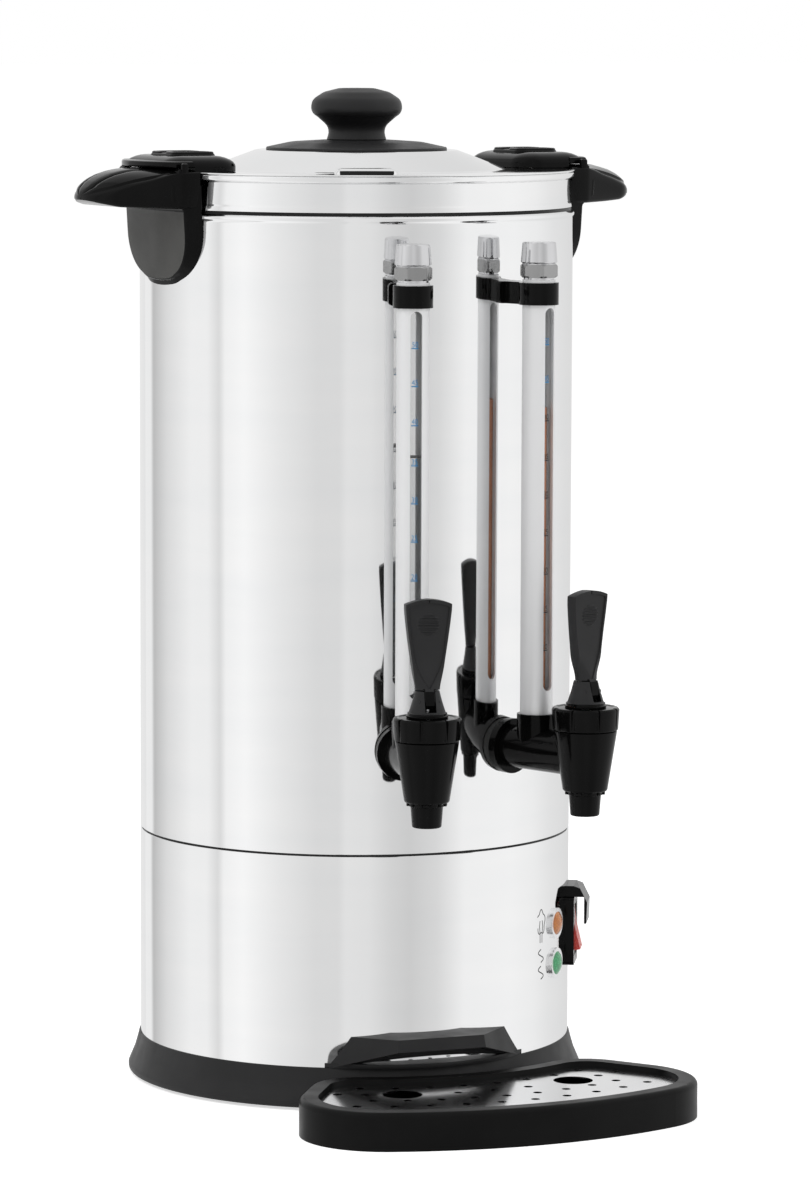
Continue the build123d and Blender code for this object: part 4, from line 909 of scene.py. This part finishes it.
def wing(angle, node):
    """An edge plate: a domed body, a flange to the rim, and a thumb pad with two rims."""

    body_plan = plan(101.25, 41.5, 2 * wing_half, 13)

    def on_lid(inset):
        return [(min(x, sqrt(rim_radius**2 - y * y)), y) for x, y in body_plan(inset)]

    foot = stack(on_lid, [(0, 470.45), (0, 473.0)])
    levels = [(0.5, 472.5), (0, 473.0), (0.3, 474.0), (1.3, 475.3), (3.0, 476.4), (5.5, 477.4)]
    levels += [(8, 478.0), (10.5, 478.3)]
    body = stack(body_plan, levels)

    def crescent(inset):
        sides = [(wing_half - inset) * (1 - 2 * step / 40) for step in range(41)]
        outer = [(bow_centre + sqrt((bow_radius - inset) ** 2 - y * y), y) for y in sides]
        return outer + [(sqrt(flange_inner**2 - y * y), y) for y in reversed(sides)]

    levels = [(0.8, 472.45), (0.2, 472.8), (0, 473.4), (0, 474.7), (0.4, 475.4), (1.3, 475.8)]
    flange = stack(crescent, levels)
    pad = stack(plan(thumb_reach, 25.5, 33, 6), [(0, 476.6), (0.3, 478.3), (0.8, 479.0), (1.7, 479.4)])
    rims = []
    for offset in (-8.0, 8.0):
        outer, inner = round_box(23.5, 14.6, 4.5), round_box(18.5, 10.0, 3.0)
        levels = [(outer, 0, 479.0), (outer, 0.2, 479.8), (outer, 0.8, 480.15)]
        levels += [(inner, -0.6, 480.15), (inner, -0.1, 479.8), (inner, 0.0, 478.9)]
        rings = [[(x, y, height) for x, y in shape(inset)] for shape, inset, height in levels]
        rims.append(placed(loft(rings), Matrix.Translation((thumb_reach, offset, 0))))
    shape = join_shapes(foot, body, flange, pad, *rims)
    dress(node, shape, gloss_black, "lid", "black_gloss", sharp=34, place=stand(angle))


for side, angle in handle_headings.items():
    wing(angle, f"lid_wing_{side}")

# ---- levers and their guides
# Each table is (height, half width), or (height, reach) for the paddle's front and back.
lever_top = pivot_height + 50.6
paddle_foot = 219.6
tab_top = 220.4
panel_sink = 0.7
paddle_half = [(219.8, 6.0), (227.2, 7.3), (235.4, 8.5), (243.6, 9.75), (251.8, 10.8)]
paddle_half += [(259.2, 11.6), (262, 11.65)]
panel_half = [(220.5, 0), (222.8, 1.8), (228.0, 4.7), (234.6, 7.1), (243.6, 8.25), (259.2, 10.0)]
paddle_front = [(219.6, 5.0), (223, 4.3), (228, 3.4), (234, 2.9), (244, 2.9), (255, 3.4), (264.4, 3.9)]
paddle_back = [(219.6, -4.3), (226, -4.1), (236, -3.4), (248, -3.0), (258, -2.6), (264.4, -2.1)]
crown_radius = 29.5
crown_centre = lever_top - crown_radius
grip_patch = 252.0
patch_radius = 5.7
ridge_pitch = 1.7


def eased(table, value):
    """A table read with rounded bends."""
    return sum(along(table, value + 1.6 * step) for step in (-1, -0.5, 0, 0.5, 1)) / 5


def crown_half(height, inset=0.0):
    rise = height - crown_centre
    return sqrt(max((crown_radius - inset) ** 2 - rise**2, 0.01))


def patch_relief(offset, height):
    """The raised ribs of the grip patch."""
    reach = hypot(offset, height - grip_patch)
    if reach > patch_radius:
        return 0
    ridge = 0.5 + 0.5 * cos(TURN * (height - grip_patch) / ridge_pitch)
    return 0.5 * smooth(0.3, 0.95, ridge) * (1 - smooth(patch_radius - 0.9, patch_radius, reach))


def lever(angle, side):
    """A waisted paddle with a sunk panel and a ribbed patch, on a short tab."""
    heights = [paddle_foot, 220.2, 220.7, 221.3, 222, 222.8, 224, 225.5, 227, 229, 231, 233, 235]
    heights += [237.5, 240, 242.5, 244.5, 245.8] + [246.2 + 0.2 * step for step in range(59)]
    heights += [258.4, 259.2, 260, 260.6, 261.1, 261.5, 261.8, 262.0, 262.2, 262.4, 262.6, 262.8]
    heights += [263.2, 263.6, 263.9, 264.15, 264.3, 264.38]
    rings = []
    for height in heights:
        width = min(eased(paddle_half, height), crown_half(height))
        sides = eased(panel_half, height), crown_half(height, 1.75), width - 0.6
        hollow = max(min(sides), 0.02)
        front, back = eased(paddle_front, height), eased(paddle_back, height)
        right = [(hollow * step / 20, -panel_sink) for step in range(21)]
        wall = min(0.3, (width - hollow) * 0.3)
        right += [(hollow + wall, 0), ((hollow + wall + width) / 2, 0)]
        right += [(width - 0.3, 0), (width, -0.4)]
        profile = [(-offset, sink) for offset, sink in reversed(right[1:])] + right
        ring = []
        for offset, sink in profile:
            if sink == -panel_sink:
                sink += patch_relief(offset, height)
            if hollow <= 0.05 and abs(offset) < width:
                sink = 0
            ring.append(Vector((front + sink, offset, height)))
        middle = (front + back) / 2
        edge = [(width, middle), (width, back + 0.9), (width - 0.35, back + 0.25)]
        ring += [Vector((reach, offset, height)) for offset, reach in edge]
        for step in range(9):
            offset = (width - 1.0) * (1 - step / 4)
            ring.append(Vector((back - 0.5 * (1 - (offset / width) ** 2), offset, height)))
        ring += [Vector((reach, -offset, height)) for offset, reach in reversed(edge)]
        waist = 0.9 * (1 - smooth(221, 233, height))
        for point in ring:
            bulge = sqrt(max(1 - (point.y / width) ** 2, 0.03))
            point.x += (middle - point.x) * (1 - bulge) * waist
        rings.append(ring)
    paddle = loft(rings)

    tab_side = [(4.6, tab_top), (5.4, 219.0), (6.2, 217.4), (6.7, 215), (6.8, 212.2), (5.8, 210.4)]
    tab_side += [(4.6, 211.2), (3.9, 212.6), (3.2, 218.6), (-2.5, paddle_foot), (-3.6, tab_top)]
    tab = []
    centre = Vector((4.6, 216.5))
    for offset, inset in ((-2.55, 0.35), (-2.2, 0), (2.2, 0), (2.55, 0.35)):
        ring = []
        for x, z in tab_side:
            flat = Vector((x, z))
            flat += (centre - flat).normalized() * inset
            ring.append(Vector((flat.x, offset, flat.y)))
        tab.append(ring)

    def is_tab(spot):
        in_root = spot.z < tab_top and abs(spot.y) < 2.6 and spot.x < 4.7
        return in_root or spot.z < paddle_foot

    look = {"sharp": 30, "paint": (gloss_black, is_tab), "place": stand(angle, tap_reach)}
    shape = join_shapes(paddle, loft(tab))
    dress(f"tap_lever_{side}", shape, charcoal, f"lever_{side}", "charcoal_satin", **look)


def guide(angle, side):
    """The flared guide between cap and lever, with an upright slot in its front."""
    profile = [(205.9, 10.4), (206.7, 10.4), (207.0, 9.9), (208.0, 9.9), (208.3, 9.2), (208.9, 8.95)]
    profile += [(209.2, 8.85), (211.5, 8.1), (214, 7.3), (216.5, 6.65), (218.2, 6.25), (219.0, 6.0)]
    slot = 2.8
    slot_foot = 209.0
    rings = []
    for height, radius in profile:
        edge = atan2(slot, sqrt(radius**2 - slot**2))
        turns = [edge + (TURN - 2 * edge) * step / 48 for step in range(49)]
        if height < slot_foot:
            turns += [-edge * share for share in (0.6, 0.2, -0.2, -0.6)]
        ring = [(radius * cos(turn), radius * sin(turn)) for turn in turns]
        if height >= slot_foot:
            ring += [(3.0, -slot), (1.0, -slot), (1.0, slot), (3.0, slot)]
        rings.append([(x, y, height) for x, y in ring])

    # The slot's walls and the neck ring under the flare are painted gloss black, darker than the guide:
    # painted shade in the recess and the gap.
    def in_slot(spot):
        inside = spot.z > slot_foot and abs(spot.y) < slot + 0.01 and spot.x > 0.5
        return inside or spot.z < 208.1

    look = {"paint": (gloss_black, in_slot), "place": stand(angle, tap_reach)}
    dress(f"tap_bonnet_{side}", loft(rings), charcoal, "urn", "charcoal_satin", **look)


# Degrees between the cap's slits, and half of one slit.
slit_pitch = 45
slit_half = 2.2


def tap_shell(angle, side):
    """The tap's cone with its nozzle, and the slitted cap over it."""
    look = {"sharp": 30, "place": stand(angle, tap_reach)}
    cone = [
        (4.5, 151.0), (7.3, 151.0, 0.9), (8.1, 161.4, 0.3), (9.2, 161.8, 0.3), (9.6, 163.2, 0.4),
        (11.2, 163.6, 1.6), (15.9, tap_seam - 0.4, 0.3), (15.2, tap_seam), (4.5, tap_seam),
    ]
    turns = [TURN * step / 64 for step in range(64)]
    circle = [(arm_radius * cos(turn), outlet_height + arm_radius * sin(turn)) for turn in turns]
    boss = loft([[(x, y, z) for y, z in circle] for x in (-17.0, -6.0)])
    notches = []
    for step in range(12):
        tooth = stack(round_box(1.6, 1.3, 0.3, 2), [(0.1, 161.9), (0, 162.2), (0, 163.6)])
        spin = Matrix.Rotation(TURN * step / 12, 4, "Z") @ Matrix.Translation((9.5, 0, 0))
        notches.append(placed(tooth, spin))
    shape = join_shapes(turned(cone, 144), boss, *notches)
    dress(f"tap_body_{side}", shape, gloss_black, "urn", "black_gloss", **look)

    rim = [
        (15.3, tap_seam + 0.25), (16.4, tap_seam + 0.25, 0.5), (17.0, cap_top - 1.1, 0.9),
        (16.2, cap_top - 0.1, 0.6), (14.6, cap_top, 0.6), (13.4, cap_top - 0.4, 0.6),
        (10.2, cap_top - 0.2), (10.2, cap_top - 1.6), (15.3, cap_top - 1.6),
    ]
    steps = 384
    points, faces = lathe(rounded(rim, 4), steps)
    cut = []
    for index, point in enumerate(points):
        column = index % steps
        turn = (column / steps * 360 - slit_pitch / 2 + 180) % slit_pitch
        from_slit = min(turn, slit_pitch - turn)
        radius = hypot(point.x, point.y)
        if from_slit < slit_half and radius > 14.9 and tap_seam + 1.2 < point.z:
            shrink = (radius - 1.1) / radius
            sink = 0.4 * (point.z > cap_top - 0.7)
            point = Vector((point.x * shrink, point.y * shrink, point.z - sink))
        cut.append(point)
    dress(f"tap_cap_{side}", (cut, faces), gloss_black, "urn", "black_gloss", **look)


for side, angle in tap_headings.items():
    lever(angle, side)
    guide(angle, side)
    tap_shell(angle, side)

# ---- gauges
gauge_top = rim_height - 48.0
glass_seat = socket_top - 12.5
glass_face = 6.26
liquid_tops = {"left": 332.0, "right": 354.0}
mark_heights = {50: 385.4, 45: 366.6, 40: 347.2, 35: 327.3, 30: 308.4}
mark_heights |= {25: 289.4, 20: 270.0, 15: 250.7, 10: 231.4}
mark_shift = -0.3
number_squeeze = 0.82
number_rise = 0.9
liquid_radius = 4.42
surface_depth = 0.7


def gauge_cap():
    """A chrome cap: a chamfered hexagon with a collar and a slightly tapered barrel."""
    rings = []
    levels = [(0.02, 12.5, 0), (6.3, 12.5, 0), (6.3, 0.02, 0), (7.7, 0.02, 0), (7.8, 0.9, 0)]
    levels += [(8.5, 1.1, 1), (9.7, 1.9, 1), (9.7, 7.0, 1), (8.6, 7.8, 1), (8.4, 8.1, 0), (8.7, 8.3, 0)]
    levels += [(9.2, 8.9, 0), (9.2, 9.3, 0), (8.5, 18.3, 0), (8.1, 18.9, 0), (7.2, 19.0, 0)]
    levels += [(0.02, 19.0, 0)]
    for radius, height, is_hexagon in levels:
        ring = []
        for step in range(96):
            turn = TURN * step / 96
            flat = 8.5 / cos((turn + pi / 6) % (pi / 3) - pi / 6)
            reach = min(flat, radius) if is_hexagon else radius
            ring.append(Vector((reach * cos(turn), reach * sin(turn), gauge_top + height)))
        rings.append(ring)
    return loft(rings)


def on_hexagon(centre):
    """Whether a place is on the caps' grey hexagons."""
    return gauge_top + 1.0 < centre.z < gauge_top + 7.9


caps = [placed(gauge_cap(), stand(angle, gauge_reach)) for angle in tap_headings.values()]
look = {"sharp": 24, "paint": (hexagon_grey, on_hexagon)}
dress("gauge_caps", join_shapes(*caps), chrome, "urn", "steel_polished", **look)


def number_shape(number):
    """The flat outline mesh of a number, 2.7 mm high and centred."""
    curve = bpy.data.curves.new("number", "FONT")
    curve.body = str(number)
    curve.size = 3.9
    curve.align_x = "CENTER"
    holder = bpy.data.objects.new("number", curve)
    mesh = bpy.data.meshes.new_from_object(holder)
    points = [vertex.co.copy() for vertex in mesh.vertices]
    faces = [tuple(face.vertices) for face in mesh.polygons]
    bpy.data.objects.remove(holder)
    bpy.data.meshes.remove(mesh)
    return points, faces


def on_glass(offset, height):
    """A point on the front of a gauge's glass, in the gauge's frame."""
    return Vector((sqrt(glass_face**2 - offset * offset), offset, height))


def gauge_marks(angle, side):
    """Plain numbers, each over a short line, wrapped on the front of the glass."""
    for colour, material in (("blue", blue_ink), ("black", black_ink_and_shade)):
        shapes = []
        for number, height in mark_heights.items():
            if (side == "left" or number > 40) != (colour == "blue"):
                continue
            flat, faces = number_shape(number)
            points = []
            for point in flat:
                offset = point.x * number_squeeze + mark_shift
                points.append(on_glass(offset, height + number_rise + point.y))
            shapes.append((points, faces))
            offsets = [mark_shift - 1.8 + 0.45 * step for step in range(9)]
            line = [on_glass(offset, height + rise) for rise in (0.0, 0.55) for offset in offsets]
            shapes.append((line, [(step, step + 1, step + 10, step + 9) for step in range(8)]))
        if shapes:
            place, shape = stand(angle, gauge_reach), join_shapes(*shapes)
            piece(f"gauge_marks_{side}_{colour}", shape, material, "urn", "clear", place=place)


def gauge_liquid(angle, side, material, line):
    """The liquid that stands in the gauge glass. Its top takes a second material: for water, black as
    painted shade for the dark line of its surface.
    """
    top, foot = liquid_tops[side], glass_seat + 0.3
    column = [(0, foot), (liquid_radius, foot), (liquid_radius, top - surface_depth)]
    column += [(liquid_radius + 0.01, top), (0, top - 0.3)]
    paint = (line, lambda centre: centre.z > top - surface_depth - 0.05)
    look = {"sharp": 30, "paint": paint, "place": stand(angle, gauge_reach)}
    piece(f"gauge_liquid_{side}", lathe(column, 40, False), material, "urn", "clear", **look)


# The water's top is painted black: painted shade for the dark line of its surface.
gauge_liquid(tap_headings["left"], "left", water, black_ink_and_shade)
gauge_liquid(tap_headings["right"], "right", tea, tea)
for side, angle in tap_headings.items():
    gauge_marks(angle, side)

# ---- vent, lamps and signs
vent_heading = -25.0
vent_mouth = 112.0


def vent():
    """A low louvre pressed up out of the lid's edge, open outwards; the opening is a thin slab of dark
    steel as painted shade.
    """
    levels = [(0, 470.35), (0.4, 471.3), (1.0, 472.3), (1.9, 473.0), (3.4, 473.4)]
    hump = stack(round_box(21.5, 31.6, 4.0), levels)
    # The mouth is a thin slab in the dark steel: painted shade where the louvre opens.
    levels = [(0.05, 470.6), (0, 470.8), (0, 472.0), (0.1, 472.3)]
    mouth = stack(round_box(0.5, 27.0, 0.2, 2), levels)
    shapes = [(hump, 101.4), (mouth, vent_mouth)]
    shape = join_shapes(*(placed(part, Matrix.Translation((x, 0, 0))) for part, x in shapes))

    def is_mouth(spot):
        return spot.x > vent_mouth - 0.3 and abs(spot.y) < 13.6

    look = {"sharp": 40, "paint": (steel_painted_shade, is_mouth), "place": stand(vent_heading)}
    piece("lid_vent_look", shape, steel, "lid", "steel_polished", **look)


vent()

sign_heading = 31.3
wave_height = 63.8
wave_length = 6.8
wave_gap = 4.37
cloud_height = 85.6


def stroke(line, width):
    """A ribbon along (across, height) points, laid on the housing."""
    points, faces = [], []
    flat = [Vector(point) for point in line]
    for index, here in enumerate(flat):
        before, after = flat[max(index - 1, 0)], flat[min(index + 1, len(flat) - 1)]
        run = (after - before).normalized()
        for side in (-1, 1):
            spot = here + Vector((-run.y, run.x)) * side * width / 2
            turn = sign_heading + degrees(spot.x / body_radius)
            points.append(heading(turn, body_radius + 0.05, spot.y))
        if index:
            faces.append((2 * index - 2, 2 * index - 1, 2 * index + 1, 2 * index))
    return points, faces


def signs():
    """Plain line signs beside the lamps: two waves and a rising cloud."""
    shapes = []
    for shift in (-wave_gap, wave_gap):
        foot = wave_height + shift - wave_length / 2
        shares = [step / 24 for step in range(25)]
        wave = [(2.6 * sin(TURN * share), foot + wave_length * share) for share in shares]
        shapes.append(stroke(wave, 0.55))
    cloud = []
    for step in range(61):
        turn = TURN * (step / 60 * 0.84 - 0.17)
        reach = 1 + 0.12 * cos(5 * turn)
        side = -3.96 * reach * cos(turn + pi / 2)
        cloud.append((side, cloud_height + 6.0 * reach * sin(turn + pi / 2)))
    shapes.append(stroke(cloud, 0.5))
    for shift in (-1.0, 1.0):
        rise = [(shift, 75.0), (shift, 79.5), (shift * 1.6, 83.5), (shift * 1.2, 86.5)]
        shapes.append(stroke(rise, 0.45))
    piece("lamp_signs", join_shapes(*shapes), black_ink_and_shade, "urn", "black_matte")


signs()


def soften(name, width):
    """Round a moulded part's edges a little."""
    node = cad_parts[name]
    weld = node.modifiers.new("weld", "WELD")
    weld.merge_threshold = 0.02 * MM
    bevel = node.modifiers.new("bevel", "BEVEL")
    bevel.width = width * MM
    bevel.segments = 2
    bevel.limit_method = "ANGLE"
    bevel.angle_limit = radians(40)


edges = {"gauge_clips": 0.5, "switch_hood": 0.4, "switch_body": 0.4, "tray_holder": 0.5}
for name, width in edges.items():
    soften(name, width)
